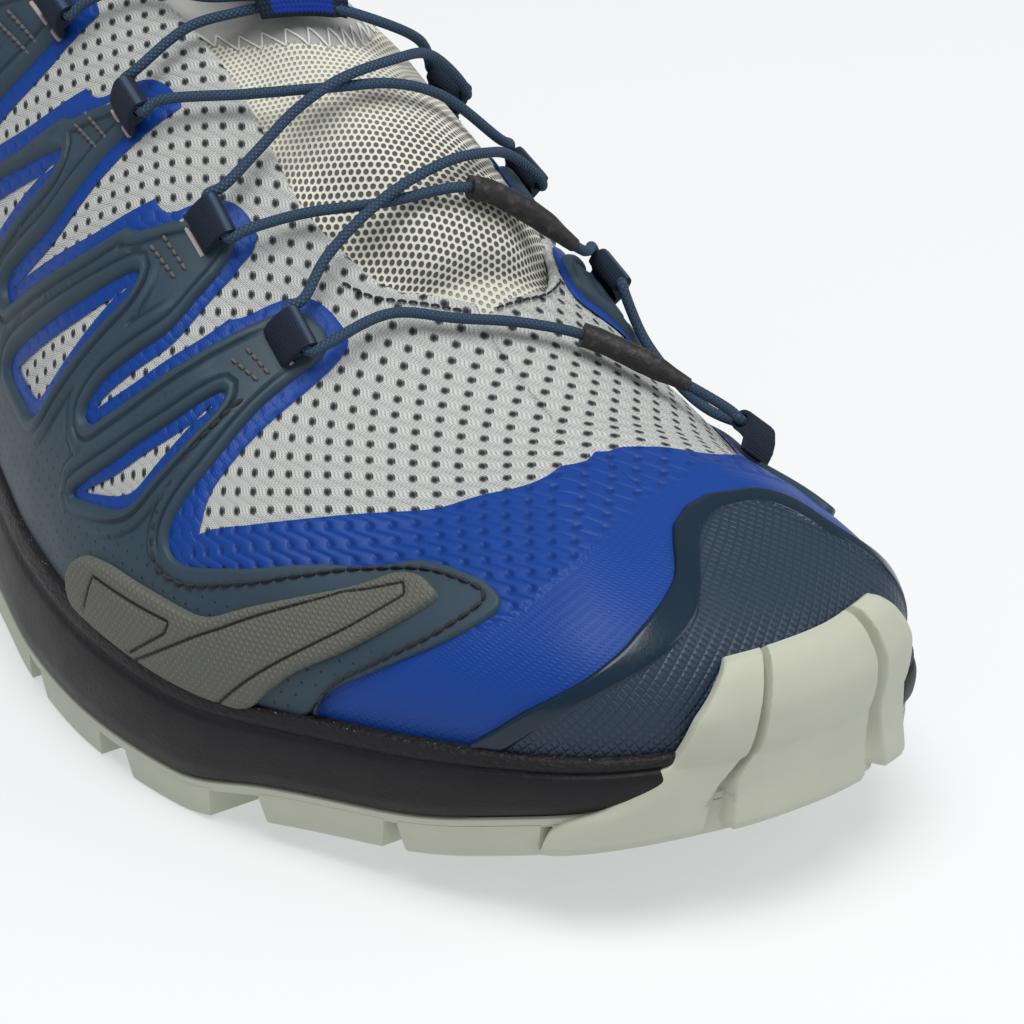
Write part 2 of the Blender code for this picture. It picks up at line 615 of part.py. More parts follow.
def grid_solid(name, front, back, columns):
    """A closed mesh between two grids of points of the same size."""
    rows = len(front) // columns
    offset = len(front)
    faces = []
    for i in range(rows - 1):
        for j in range(columns - 1):
            quad = (i * columns + j, i * columns + j + 1, (i + 1) * columns + j + 1, (i + 1) * columns + j)
            faces.append(quad)
            faces.append(tuple(offset + corner for corner in reversed(quad)))
    edge = [j for j in range(columns)]
    edge += [i * columns + columns - 1 for i in range(1, rows)]
    edge += [(rows - 1) * columns + j for j in range(columns - 2, -1, -1)]
    edge += [i * columns for i in range(rows - 2, 0, -1)]
    for a, b in zip(edge, edge[1:] + edge[:1]):
        faces.append((b, a, a + offset, b + offset))
    mesh = mesh_from(name, front + back, faces)
    face_outward(mesh)
    return mesh


def bumper_mesh():
    front = []
    back = []
    for row in BUMPER_ROWS:
        for share, depth in BUMPER_ACROSS:
            station = row.left + (row.right - row.left) * share
            out = row.out - depth * BUMPER
            if row.level is None:
                front.append(skin(station, row.climb, out))
                back.append(skin(station, row.climb, BUMPER_CLEAR))
                continue
            foot = sole_height(ring(station).x) + BUMPER_FOOT * LUG
            height = foot + (bite(station) - foot) * row.level
            front.append(side_point(station, out, height))
            back.append(side_point(station, -BUMPER, height))
    return grid_solid("toe_bumper", front, back, len(BUMPER_ACROSS))


def outsole(material):
    piece = add_object("outsole", tread_sheet(), material)
    cutter = bpy.data.objects.new("toe_bumper", bumper_mesh())
    CUTTERS.objects.link(cutter)
    cutter.location = ORIGIN
    cutter.hide_render = True
    cutter.display_type = "WIRE"
    join = piece.modifiers.new("bumper", "BOOLEAN")
    join.operation = "UNION"
    join.solver = "EXACT"
    join.object = cutter
    return piece


def collar_padding(station, share):
    """How much of the padding the wall has there, from 0 to 1."""
    behind = 1 - ease(row_of(station), *PADDED_ROWS)
    low, high, lip = PADDED_CLIMB
    return behind * ease(share, low, high) * (1 - ease(share, lip, 1.0) / 2)


def upper(material):
    stations = all_stations()
    count = len(stations)
    points = []
    weights = []
    for share in UPPER_CLIMBS:
        for station in stations:
            points.append(skin(station, share * top_climb(station)))
            weights.append((WALL + COLLAR_PAD * collar_padding(station, share)) / (WALL + COLLAR_PAD))
    piece = add_object("upper", mesh_from("upper", points, loop_faces(len(UPPER_CLIMBS), count)), material)
    group = piece.vertex_groups.new(name="wall")
    for i, weight in enumerate(weights):
        group.add([i], weight, "REPLACE")
    weld = piece.modifiers.new("ridge", "WELD")
    weld.merge_threshold = 0.00005
    thicken(piece, WALL + COLLAR_PAD, group=group.name)
    return piece


def tongue_lift(row, across):
    """How far the tongue's outer face lies over the skin: under the throat's edges it clears the upper."""
    throat = 1 - top_climb(station_of_spine(row.spine))
    rise = 1 - ease(abs(across) / max(throat, GAP), *TONGUE_RISE)
    return row.rise * rise - WALL - TONGUE_CLEAR


def tongue(material):
    front = []
    back = []
    for row in TONGUE:
        for share in TONGUE_ACROSS:
            across = share * row.half
            lift = tongue_lift(row, across)
            front.append(top_point(row.spine, across, lift))
            back.append(top_point(row.spine, across, lift - row.thick * (1 - TONGUE_THIN * share * share)))
    return add_object("tongue", grid_solid("tongue", front, back, len(TONGUE_ACROSS)), material)


def inside(point, outline):
    """Whether a point of the plan lies in an outline."""
    crossings = 0
    for a, b in zip(outline, outline[1:] + outline[:1]):
        if (a.y > point.y) != (b.y > point.y):
            if point.x < a.x + (b.x - a.x) * (point.y - a.y) / (b.y - a.y):
                crossings += 1
    return crossings % 2 == 1


def distance_to(point, outline):
    nearest = 1.0
    for a, b in zip(outline, outline[1:] + outline[:1]):
        side = b - a
        share = min(max((point - a).dot(side) / side.length_squared, 0.0), 1.0)
        nearest = min(nearest, (a + side * share - point).length)
    return nearest


def plan_outline(places):
    """An outline's points in the plan, with more on its long sides."""
    corners = [Vector((station * PLAN.x, climb * PLAN.y)) for station, climb in places]
    outline = []
    for a, b in zip(corners, corners[1:] + corners[:1]):
        pieces = max(1, math.ceil((b - a).length / FACET))
        outline += [a.lerp(b, i / pieces) for i in range(pieces)]
    return outline


def patch(name, edge, holes, out, thickness, material):
    """An overlay: a sheet over the skin inside an edge, less its holes, with a wall."""
    outlines = [plan_outline(places) for places in (edge, *holes)]
    points = []
    edges = []
    for outline in outlines:
        first = len(points)
        points += outline
        edges += [(first + i, first + (i + 1) % len(outline)) for i in range(len(outline))]
    low = Vector((min(p.x for p in outlines[0]), min(p.y for p in outlines[0])))
    high = Vector((max(p.x for p in outlines[0]), max(p.y for p in outlines[0])))
    step = Vector((LATTICE[0] * PLAN.x, LATTICE[1] * PLAN.y))
    for i in range(math.floor(low.x / step.x), math.ceil(high.x / step.x) + 1):
        for j in range(math.floor(low.y / step.y), math.ceil(high.y / step.y) + 1):
            point = Vector((i * step.x, j * step.y))
            if inside(point, outlines[0]) and not any(inside(point, hole) for hole in outlines[1:]):
                if all(distance_to(point, outline) > 0.3 * step.y for outline in outlines):
                    points.append(point)
    flat, _, faces, _, _, _ = delaunay_2d_cdt(points, edges, [], 0, 1e-6)
    kept = []
    for face in faces:
        middle = sum((flat[i] for i in face), Vector((0.0, 0.0))) / len(face)
        if inside(middle, outlines[0]) and not any(inside(middle, hole) for hole in outlines[1:]):
            kept.append(tuple(face))
    used = sorted({i for face in kept for i in face})
    order = {old: new for new, old in enumerate(used)}
    places = [skin(flat[i].x / PLAN.x, flat[i].y / PLAN.y, out + thickness) for i in used]
    mesh = mesh_from(name, places, [tuple(order[i] for i in face) for face in kept])
    piece = add_object(name, mesh, material)
    thicken(piece, thickness)
    return piece


def mirrored(places):
    return tuple((AROUND - station, climb) for station, climb in reversed(places))


def loop_frame(loop):
    """The loop's place and axes: the way it points, out of the skin, and along the lace that runs through it."""
    place, run, up, normal = skin_frame(loop.station, loop.climb)
    turn = math.radians(loop.turn)
    points = up * math.cos(turn) + run * math.sin(turn)
    return place, points, normal, points.cross(normal)


def arc_points(radius, height, first, turn, sides):
    """Points on an arc whose middle is at some height, from an angle on through a turn, in degrees."""
    angles = [math.radians(first + turn * i / sides) for i in range(sides + 1)]
    return [(math.cos(angle) * radius, height + math.sin(angle) * radius) for angle in angles]


def lace_loop(loop, material):
    """A loop of webbing: a flat tail and a hump with the lace's eye in it."""
    place, points, normal, along = loop_frame(loop)
    outline = bpy.data.curves.new(loop.name, "CURVE")
    outline.dimensions = "2D"
    outline.fill_mode = "BOTH"
    outline.extrude = LOOP_WIDTH / 2
    hump_radius = STRAP + EYE
    hump = arc_points(hump_radius, hump_radius, *HUMP_ARC, HUMP_SIDES)
    behind, before, straps = TAIL
    tail = [(-behind * hump_radius, straps * STRAP), (-behind * hump_radius, 0.0), (before * hump_radius, 0.0)]
    hole = arc_points(EYE, hump_radius, 0, 360, EYE_SIDES)[:-1]
    for corners in (hump + tail, hole):
        spline = outline.splines.new("POLY")
        spline.points.add(len(corners) - 1)
        for point, (x, y) in zip(spline.points, corners):
            point.co = (x, y, 0.0, 1.0)
        spline.use_cyclic_u = True
    frame = Matrix((points, normal, along)).transposed().to_4x4()
    frame.translation = place + normal * LOOP_BASE
    return solid_from_curve(loop.name, outline, frame, material)


def solid_from_curve(name, curve, frame, material):
    """The closed mesh of a curve, with its caps welded on."""
    guide = bpy.data.objects.new(name + "_guide", curve)
    CUTTERS.objects.link(guide)
    view = bpy.context.evaluated_depsgraph_get()
    mesh = bpy.data.meshes.new_from_object(guide.evaluated_get(view))
    mesh.transform(frame)
    bpy.data.objects.remove(guide)
    shell = bmesh.new()
    shell.from_mesh(mesh)
    bmesh.ops.remove_doubles(shell, verts=shell.verts, dist=0.00001)
    bmesh.ops.recalc_face_normals(shell, faces=shell.faces)
    shell.to_mesh(mesh)
    shell.free()
    mesh.name = name
    mesh.materials.clear()
    return add_object(name, mesh, material)


def eye_ends(loop, other):
    """The two ends of the lace's straight way through a loop, the nearer to some other point first.

    With each comes the point where the lace has turned round the loop's edge, the way that the loop points.
    """
    place, points, normal, along = loop_frame(loop)
    middle = place + normal * EYE_HEIGHT
    ends = []
    for side in (-1, 1):
        end = middle + along * side * (LOOP_WIDTH / 2 + EYE_REACH)
        ends.append((end, end + points * (EYE + STRAP + LACE / 2)))
    return sorted(ends, key=lambda end: (end[1] - other).length)


def strand_path(strand, hold):
    """The lace's way as points: straight inside each loop, an even curve between loops, and held in the end ones."""
    loops = {loop.name: loop for loop in LOOPS}
    stops = [loops[name] for name in strand[::2]]
    ways = [[top_point(way.spine, way.across, way.out) for way in stop] for stop in strand[1::2]]
    near, far = eye_ends(stops[0], ways[0][0])
    path = [near[0].lerp(far[0], hold)]
    for stop, way in zip(stops[1:], ways):
        enter, leave = eye_ends(stop, way[-1])
        path += even_points(path[-1], [*near, *way, *enter[::-1]], leave[0])
        near = leave
    path.append(path[-1].lerp(near[0], LAST_HOLD))
    return path


def even_points(before, points, after):
    """Points about LACE_STEP apart on a smooth curve that comes from one point and goes on to another."""
    ends = [before, *points, after]
    fine = [curve_through(ends, i + t / 12) for i in range(1, len(points)) for t in range(12)] + [points[-1]]
    lengths = [0.0]
    for a, b in zip(fine, fine[1:]):
        lengths.append(lengths[-1] + (b - a).length)
    steps = max(2, round(lengths[-1] / (LACE_STEP * LACE)))
    even = []
    for k in range(steps + 1):
        goal = lengths[-1] * k / steps
        i = min(max(int(np.searchsorted(lengths, goal)) - 1, 0), len(fine) - 2)
        even.append(fine[i].lerp(fine[i + 1], (goal - lengths[i]) / (lengths[i + 1] - lengths[i])))
    return even


def tube_curve(name, points, radius, slim_start=False):
    """A round tube; with a slim start it can end inside another tube."""
    curve = bpy.data.curves.new(name, "CURVE")
    curve.dimensions = "3D"
    curve.bevel_depth = radius
    curve.bevel_resolution = 1
    curve.use_fill_caps = True
    curve.render_resolution_u = 0
    spline = curve.splines.new("POLY")
    spline.points.add(len(points) - 1)
    for target, point in zip(spline.points, points):
        target.co = (*point, 1.0)
    if slim_start:
        for target in spline.points[:2]:
            target.radius = SLIM
    return curve


def laces(material):
    """Both strands, joined where they cross and in the loop at the toe."""
    curve = tube_curve("laces", strand_path(STRAND_A, HOLD_A), LACE / 2)
    piece = solid_from_curve("laces", curve, Matrix(), material)
    curve = tube_curve("other_strand", strand_path(STRAND_B, HOLD_B), LACE / 2, slim_start=True)
    other = solid_from_curve("other_strand", curve, Matrix(), material)
    PARTS.objects.unlink(other)
    CUTTERS.objects.link(other)
    other.hide_render = True
    other.display_type = "WIRE"
    join = piece.modifiers.new("crossings", "BOOLEAN")
    join.operation = "UNION"
    join.solver = "EXACT"
    join.object = other
    return piece


def lace_sleeve(name, path, first, last, material):
    """A fabric tube round the lace, open at both ends."""
    curve = tube_curve(name, path[first:last + 1], LACE / 2 + SLEEVE_ROOM + SLEEVE_WALL)
    curve.use_fill_caps = False
    piece = solid_from_curve(name, curve, Matrix(), material)
    thicken(piece, SLEEVE_WALL)
    return piece


def tongue_keeper(material):
    """A strap on the tongue that bridges the crossing."""
    front = []
    back = []
    for spine, out in KEEPER:
        for side in (-0.5, 0.0, 0.5):
            across = KEEPER_ACROSS + side * KEEPER_WIDTH / PLAN.y
            front.append(top_point(spine, across, out + KEEPER_THICK))
            back.append(top_point(spine, across, out))
    return add_object("tongue_keeper", grid_solid("tongue_keeper", front, back, 3), material)


for old in list(bpy.data.objects):
    bpy.data.objects.remove(old)
PARTS = new_collection("trail_shoe")
CUTTERS = new_collection("cutters")

SAGE = new_material("sage_rubber", (0.45, 0.48, 0.36), 0.6)
BLACK_FOAM = new_material("black_foam", (0.03, 0.03, 0.035), 0.55)
GREY_FOAM = new_material("insole_foam", (0.12, 0.12, 0.13), 0.9)
MESH = new_material("grey_mesh", (0.58, 0.60, 0.58), 0.85)
CREAM = new_material("cream_mesh", (0.60, 0.60, 0.52), 0.85)
NAVY = new_material("navy_overlay", (0.025, 0.05, 0.09), 0.45)
DEEP_NAVY = new_material("toe_cap_navy", (0.02, 0.045, 0.075), 0.3)
GUARD_GREY = new_material("guard_rubber", (0.17, 0.18, 0.15), 0.6)
WEBBING = new_material("webbing", (0.03, 0.035, 0.05), 0.8)
CORD = new_material("lace_cord", (0.04, 0.08, 0.14), 0.8)
SLEEVE = new_material("sleeve_fabric", (0.03, 0.025, 0.03), 0.8)
KEEPER_BLUE = new_material("keeper_strap", (0.03, 0.06, 0.45), 0.7)

outsole(SAGE)
midsole(BLACK_FOAM)
insole(GREY_FOAM)
upper(MESH)
tongue(CREAM)
patch("toe_cap", TOE_CAP_EDGE, (), LIFT + GAP, OVERLAY, DEEP_NAVY)
patch("lateral_cage", CAGE_EDGE, CAGE_GAPS + CAGE_WINDOWS, LIFT, OVERLAY, NAVY)
patch("medial_cage", mirrored(CAGE_EDGE), [mirrored(hole) for hole in CAGE_GAPS + CAGE_WINDOWS], LIFT, OVERLAY, NAVY)
patch("lateral_guard", LATERAL_GUARD_EDGE, (), 2 * LIFT + OVERLAY, GUARD, GUARD_GREY)
patch("heel_counter", COUNTER_EDGE, (), LIFT, OVERLAY, NAVY)
for one in LOOPS:
    lace_loop(one, WEBBING)
laces(CORD)
lace_sleeve("lace_sleeve_1", strand_path(STRAND_B, HOLD_B), *SLEEVE_1, SLEEVE)
lace_sleeve("lace_sleeve_2", strand_path(STRAND_A, HOLD_A), *SLEEVE_2, SLEEVE)
tongue_keeper(KEEPER_BLUE)
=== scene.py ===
"""Looks of a right trail running shoe, in metres: +X to the toe, +Y to the inner side, +Z up.

A place on the shoe's skin is a station and a climb. The station counts section rows from the heel (0) along
the outer side to the toe and back along the inner side. The climb goes from 0 at the sole's edge to 1 on the
ridge.
"""
import math
from collections import namedtuple

import bpy
import numpy as np
from bpy.props import FloatProperty, FloatVectorProperty, PointerProperty
from mathutils import Matrix, Vector
from mathutils.geometry import delaunay_2d_cdt


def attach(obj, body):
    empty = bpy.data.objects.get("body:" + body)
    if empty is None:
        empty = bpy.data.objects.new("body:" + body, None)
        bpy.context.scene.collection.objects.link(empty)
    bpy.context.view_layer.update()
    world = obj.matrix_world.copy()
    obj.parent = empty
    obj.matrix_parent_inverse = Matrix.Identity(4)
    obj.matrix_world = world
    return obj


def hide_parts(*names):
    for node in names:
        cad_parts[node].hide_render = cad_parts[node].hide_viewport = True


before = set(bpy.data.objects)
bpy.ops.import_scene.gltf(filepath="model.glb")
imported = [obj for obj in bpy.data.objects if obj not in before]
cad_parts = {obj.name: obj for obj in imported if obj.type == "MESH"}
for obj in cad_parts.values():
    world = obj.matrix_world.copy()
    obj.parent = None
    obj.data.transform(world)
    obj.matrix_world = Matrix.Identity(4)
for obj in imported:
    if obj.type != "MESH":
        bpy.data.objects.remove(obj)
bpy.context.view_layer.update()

bl_info = {
    "name": "Trail shoe looks",
    "version": (1, 0, 0),
    "blender": (4, 5, 0),
    "location": "View3D > Sidebar > Shoe",
    "description": "Dresses the packed trail shoe with its knit, films, rubber, lace and stitches",
    "category": "Object",
}

# Sizes of the shoe
LENGTH = 0.298
BALL_WIDTH = 0.110
HEEL_SOLE = 0.045
INSTEP = 0.132
TOE_SPRING = 0.018
LUG = 0.005
SHEET = 0.002
WALL = 0.002
COLLAR_PAD = 0.006
PADDED_ROWS = (3.3, 4.0)
PADDED_CLIMB = (0.42, 0.75, 0.9)
BUMPER = 0.0026
RIM = 0.007
FOOT_DEPTH = 0.017
DISH_SLOPE = 0.0025
SEAT = 0.0035
SWELL = 0.003
LACE = 0.0018
STRAP = 0.0008
LOOP_WIDTH = 0.0072
KEEPER_WIDTH = 0.0088
GAP = 0.0003
MM = 0.001

Section = namedtuple("Section", "along outer inner bite spine reach crown rise crown_in crown_drop")
# A row for each section, heel to toe. along and spine are shares of LENGTH, outer and inner of BALL_WIDTH,
# bite of HEEL_SOLE, and crown, rise and crown_drop of INSTEP. reach is the share of the way to the spine.
SECTIONS = (
    Section(0.000, 0.000, 0.000, 1.000, 0.160, 0.24, 0.848, 0.136, 0.35, 0.167),
    Section(0.026, 0.218, 0.200, 0.978, 0.160, 0.24, 0.848, 0.136, 0.35, 0.167),
    Section(0.094, 0.350, 0.327, 0.933, 0.170, 0.25, 0.848, 0.136, 0.35, 0.167),
    Section(0.200, 0.377, 0.345, 0.867, 0.230, 0.55, 0.909, 0.152, 0.35, 0.136),
    Section(0.335, 0.377, 0.314, 0.800, 0.335, 1.00, 1.000, 0.227, 0.45, 0.030),
    Section(0.470, 0.414, 0.336, 0.722, 0.470, 1.00, 0.864, 0.239, 0.45, 0.000),
    Section(0.587, 0.500, 0.423, 0.644, 0.587, 1.00, 0.773, 0.220, 0.42, 0.000),
    Section(0.670, 0.523, 0.468, 0.589, 0.667, 1.00, 0.633, 0.170, 0.42, 0.000),
    Section(0.755, 0.491, 0.477, 0.556, 0.742, 1.00, 0.492, 0.178, 0.42, 0.000),
    Section(0.840, 0.395, 0.473, 0.600, 0.800, 1.00, 0.458, 0.129, 0.45, 0.004),
    Section(0.915, 0.295, 0.455, 0.667, 0.800, 1.00, 0.458, 0.133, 0.45, 0.011),
    Section(0.967, 0.182, 0.391, 0.711, 0.800, 1.00, 0.458, 0.148, 0.45, 0.019),
    Section(0.995, 0.014, 0.218, 0.727, 0.800, 1.00, 0.458, 0.129, 0.45, 0.026),
    Section(1.000, -0.109, 0.109, 0.738, 0.800, 1.00, 0.458, 0.121, 0.45, 0.026),
)
TOE = len(SECTIONS) - 1
AROUND = 2 * TOE

# The ridge: share of LENGTH along, share of BALL_WIDTH to the inner side
RIDGE = ((0.0, 0.0), (0.30, 0.009), (0.50, 0.050), (0.67, 0.095), (0.80, 0.068), (1.0, 0.109))
# The tread's rise: share of LENGTH along, share of TOE_SPRING
SOLE_LINE = (
    (0.0, 0.33), (0.06, 0.08), (0.12, 0.0), (0.74, 0.0), (0.80, 0.22), (0.88, 0.42), (0.94, 0.71),
    (1.0, 1.0),
)
# The dish's depth: section row, share of FOOT_DEPTH
DISH = ((0, 1.0), (3, 0.92), (5, 0.70), (8, 0.55), (TOE, 0.50))
# The side of the midsole: share of its height, metres out from the ring
SIDE = (
    (0.0, -0.0014), (0.22, -0.0003), (0.50, 0.0), (0.70, -0.0004), (0.76, -0.0011), (0.84, -0.0006),
    (1.0, -0.0012),
)
# The upper's top edge round the collar and the throat: station, climb
TOP_EDGE = (
    (0.0, 0.80), (1.0, 0.79), (2.0, 0.68), (2.5, 0.56), (3.0, 0.47), (3.5, 0.45), (4.0, 0.50), (4.3, 0.62),
    (4.55, 0.73), (4.9, 0.78), (5.7, 0.80), (6.6, 0.79), (7.1, 0.82), (7.35, 0.86), (7.65, 1.0),
    (18.32, 1.0), (18.48, 0.75), (18.9, 0.655), (19.4, 0.63), (20.3, 0.63), (21.1, 0.65), (21.45, 0.67),
    (21.7, 0.62), (22.0, 0.50), (22.5, 0.45), (23.0, 0.47), (23.5, 0.56), (24.0, 0.68), (25.0, 0.79),
    (26.0, 0.80),
)

# The tongue from under the vamp to its top: share of LENGTH, metres over the skin, metres thick, and half
# its width as a share of the climb
Tongue = namedtuple("Tongue", "spine rise thick half")
TONGUE = (
    Tongue(0.745, 0.0000, 0.0020, 0.20),
    Tongue(0.718, 0.0000, 0.0024, 0.26),
    Tongue(0.704, 0.0004, 0.0028, 0.30),
    Tongue(0.692, 0.0040, 0.0030, 0.32),
    Tongue(0.674, 0.0056, 0.0030, 0.33),
    Tongue(0.645, 0.0050, 0.0030, 0.33),
    Tongue(0.610, 0.0034, 0.0030, 0.33),
    Tongue(0.590, 0.0028, 0.0036, 0.33),
    Tongue(0.574, 0.0042, 0.0060, 0.33),
    Tongue(0.500, 0.0046, 0.0080, 0.33),
    Tongue(0.440, 0.0050, 0.0090, 0.33),
    Tongue(0.385, 0.0056, 0.0090, 0.31),
    Tongue(0.362, 0.0046, 0.0060, 0.27),
)
TONGUE_RISE = (0.2, 0.8)
TONGUE_INNER_RISE = (0.40, 1.0)
TONGUE_FULL = 0.0024
TONGUE_INNER_REACH = 0.34
TONGUE_MESH = (1.02, 0.38)
TONGUE_THIN = 0.4
TONGUE_CLEAR = 0.0009

# Outlines on the skin: station, climb
CAGE_EDGE = (
    (1.45, -0.02), (3.0, -0.02), (5.0, -0.02), (7.0, -0.02), (8.77, -0.02), (8.97, 0.11), (9.37, 0.23),
    (9.68, 0.31), (10.04, 0.41), (10.05, 0.45), (9.85, 0.49), (9.45, 0.51), (9.16, 0.51), (8.53, 0.41),
    (8.17, 0.32), (7.73, 0.25), (7.58, 0.25), (7.49, 0.28), (7.47, 0.34), (7.50, 0.45), (7.48, 0.58),
    (7.50, 0.715), (7.42, 0.745), (7.24, 0.73), (7.14, 0.70), (7.04, 0.62), (6.96, 0.56), (6.84, 0.56),
    (6.69, 0.62), (6.66, 0.67), (6.58, 0.69), (6.44, 0.68), (6.35, 0.655), (6.20, 0.60), (6.04, 0.54),
    (5.84, 0.54), (5.70, 0.62), (5.74, 0.67), (5.68, 0.69), (5.57, 0.68), (5.48, 0.655), (5.34, 0.60),
    (5.20, 0.54), (5.02, 0.54), (4.96, 0.62), (4.94, 0.67), (4.70, 0.67), (4.30, 0.52), (3.90, 0.38),
    (3.2, 0.33), (2.2, 0.36), (1.45, 0.40),
)
CAGE_GAPS = (
    ((6.70, 0.80), (6.68, 0.52), (6.40, 0.36), (6.36, 0.30), (6.48, 0.30), (6.70, 0.40), (6.96, 0.56),
     (7.13, 0.80)),
    ((5.78, 0.80), (5.56, 0.56), (5.44, 0.42), (5.17, 0.28), (5.26, 0.255), (5.84, 0.47), (6.27, 0.68),
     (6.34, 0.80)),
    ((5.03, 0.80), (4.84, 0.56), (4.62, 0.40), (4.34, 0.26), (4.44, 0.24), (5.00, 0.46), (5.42, 0.67),
     (5.50, 0.80)),
)
CAGE_WINDOWS = (
    ((7.24, 0.55), (7.29, 0.52), (7.24, 0.41), (7.14, 0.28), (7.01, 0.245), (6.48, 0.175), (6.80, 0.30),
     (7.07, 0.43)),
    ((6.25, 0.53), (6.28, 0.49), (6.12, 0.36), (5.93, 0.22), (5.83, 0.19), (5.40, 0.18), (5.47, 0.23),
     (5.90, 0.39)),
    ((5.28, 0.52), (5.30, 0.48), (5.14, 0.38), (4.92, 0.23), (4.82, 0.19), (4.40, 0.17), (4.46, 0.22),
     (4.88, 0.38)),
)
# The blue film under the cage, which shows as a narrow border round its fingers and windows
UNDERLAY_EDGE = (
    (4.05, 0.10), (7.60, 0.10), (7.80, 0.20), (7.69, 0.33), (7.59, 0.40), (7.58, 0.53), (7.59, 0.66),
    (7.57, 0.73), (7.50, 0.775), (7.30, 0.765), (7.17, 0.745), (7.07, 0.70), (6.98, 0.62), (6.84, 0.60),
    (6.74, 0.66), (6.74, 0.70), (6.66, 0.722), (6.50, 0.718), (6.38, 0.70), (6.27, 0.66), (6.16, 0.60),
    (5.96, 0.60), (5.82, 0.66), (5.83, 0.70), (5.76, 0.722), (5.62, 0.718), (5.50, 0.70), (5.41, 0.66),
    (5.30, 0.60), (5.12, 0.60), (5.04, 0.66), (5.02, 0.70), (4.82, 0.71), (4.62, 0.70), (4.20, 0.53),
    (3.95, 0.40),
)
# The blue film over the toe
FILM_EDGE = (
    (7.60, 0.20), (7.66, 0.33), (8.13, 0.44), (8.62, 0.59), (9.24, 0.72), (10.71, 0.86), (12.97, 0.90),
    (14.60, 0.88), (15.50, 0.815), (15.95, 0.71), (16.55, 0.60), (17.10, 0.48), (17.60, 0.38),
    (18.10, 0.31), (18.40, 0.20), (17.40, -0.02), (16.0, -0.02), (14.0, -0.02), (12.0, -0.02),
    (10.0, -0.02), (8.60, -0.02),
)
# Where the toe film turns from knit-marked to smooth
WELD_LINE = (
    (8.30, 0.05), (9.46, 0.30), (10.06, 0.39), (10.74, 0.54), (11.85, 0.71), (14.19, 0.75), (15.4, 0.70),
    (16.6, 0.36), (17.6, 0.05),
)
LATERAL_GUARD_EDGE = (
    (6.70, -0.02), (6.66, 0.06), (6.84, 0.125), (7.11, 0.15), (7.60, 0.165), (8.05, 0.17), (8.64, 0.34),
    (9.09, 0.46), (9.30, 0.465), (9.49, 0.43), (9.52, 0.41), (9.35, 0.35), (8.98, 0.22), (8.71, 0.13),
    (8.42, -0.02),
)
GUARD_GROOVES = (
    ((6.95, 0.02), (7.04, 0.110), (7.80, 0.130), (7.78, 0.10), (7.45, 0.0)),
    ((7.50, -0.01), (8.19, 0.17), (8.82, 0.37), (9.21, 0.43), (9.27, 0.40), (8.84, 0.24), (8.22, -0.01)),
)
TOE_CAP_EDGE = (
    (9.85, -0.02), (10.35, 0.13), (10.89, 0.23), (11.23, 0.31), (11.44, 0.38), (11.79, 0.47), (12.06, 0.53),
    (12.40, 0.61), (12.76, 0.66), (13.50, 0.69), (14.27, 0.69), (14.88, 0.63), (15.11, 0.55), (14.97, 0.45),
    (15.10, 0.34), (15.45, 0.18), (15.65, -0.02),
)
# The inner edge of the toe cap's smooth border
CAP_BORDER = (
    (10.10, -0.04), (10.40, 0.06), (10.72, 0.13), (11.42, 0.26), (11.95, 0.38), (12.42, 0.50),
    (12.85, 0.58), (13.40, 0.625), (14.30, 0.63), (14.72, 0.56), (14.78, 0.45), (15.00, 0.25),
    (15.35, -0.04),
)
COUNTER_EDGE = (
    (24.75, -0.02), (26.0, -0.02), (27.25, -0.02), (27.20, 0.30), (27.05, 0.48), (26.5, 0.58), (26.0, 0.61),
    (25.5, 0.58), (24.95, 0.48), (24.80, 0.30),
)
# Kinds of stitches: metres over the knit, metres long, metres between two, and the thread's radius
Thread = namedtuple("Thread", "out stitch space radius")
BORDER_THREAD = Thread(0.0016, 0.0019, 0.0005, 0.00034)
SEAM_THREAD = Thread(0.0004, 0.0013, 0.0006, 0.00024)
SLOT_THREAD = Thread(0.0016, 0.0010, 0.0005, 0.00030)
# The row along the outer cage's front border: station, climb
BORDER_STITCHES = (
    (7.37, 0.56), (7.34, 0.44), (7.36, 0.32), (7.46, 0.235), (7.72, 0.212), (8.20, 0.285), (8.50, 0.365),
    (8.78, 0.435), (9.18, 0.478), (9.57, 0.478), (9.90, 0.44), (9.66, 0.345), (9.23, 0.215), (8.93, 0.10),
    (8.84, 0.0),
)
# The slots that the loops come out of, and the rows of stitches behind them
SLOTS = (
    ((7.18, 0.652), (7.42, 0.662)), ((6.28, 0.622), (6.54, 0.625)), ((5.42, 0.620), (5.66, 0.622)),
    ((4.68, 0.612), (4.92, 0.614)),
)
STITCH_BOXES = (
    ((7.14, 0.580), (7.38, 0.600)), ((7.16, 0.610), (7.41, 0.622)),
    ((6.22, 0.560), (6.50, 0.570)), ((6.25, 0.585), (6.53, 0.592)),
    ((5.29, 0.555), (5.55, 0.568)), ((5.31, 0.580), (5.58, 0.590)),
    ((4.56, 0.548), (4.82, 0.560)), ((4.58, 0.573), (4.85, 0.582)),
)
# The same rows on the inner side: half their length and their rise, and how far below the loops they lie
HALF_ROW = 0.13
ROW_RISE = 0.01
INNER_SLOT_DROP = 0.040
INNER_STITCH_DROPS = (0.075, 0.105)
# The seam along the throat's end
THROAT_SEAM = (
    ((7.20, 0.80), (7.36, 0.84), (7.52, 0.92), (7.64, 0.98)), ((18.34, 0.96), (18.42, 0.80), (18.56, 0.71)),
)
# How much lower the fingers end on the inner side, and between which climbs that sets in
FINGER_DROP = 0.08
FINGER_CLIMBS = (0.25, 0.62)
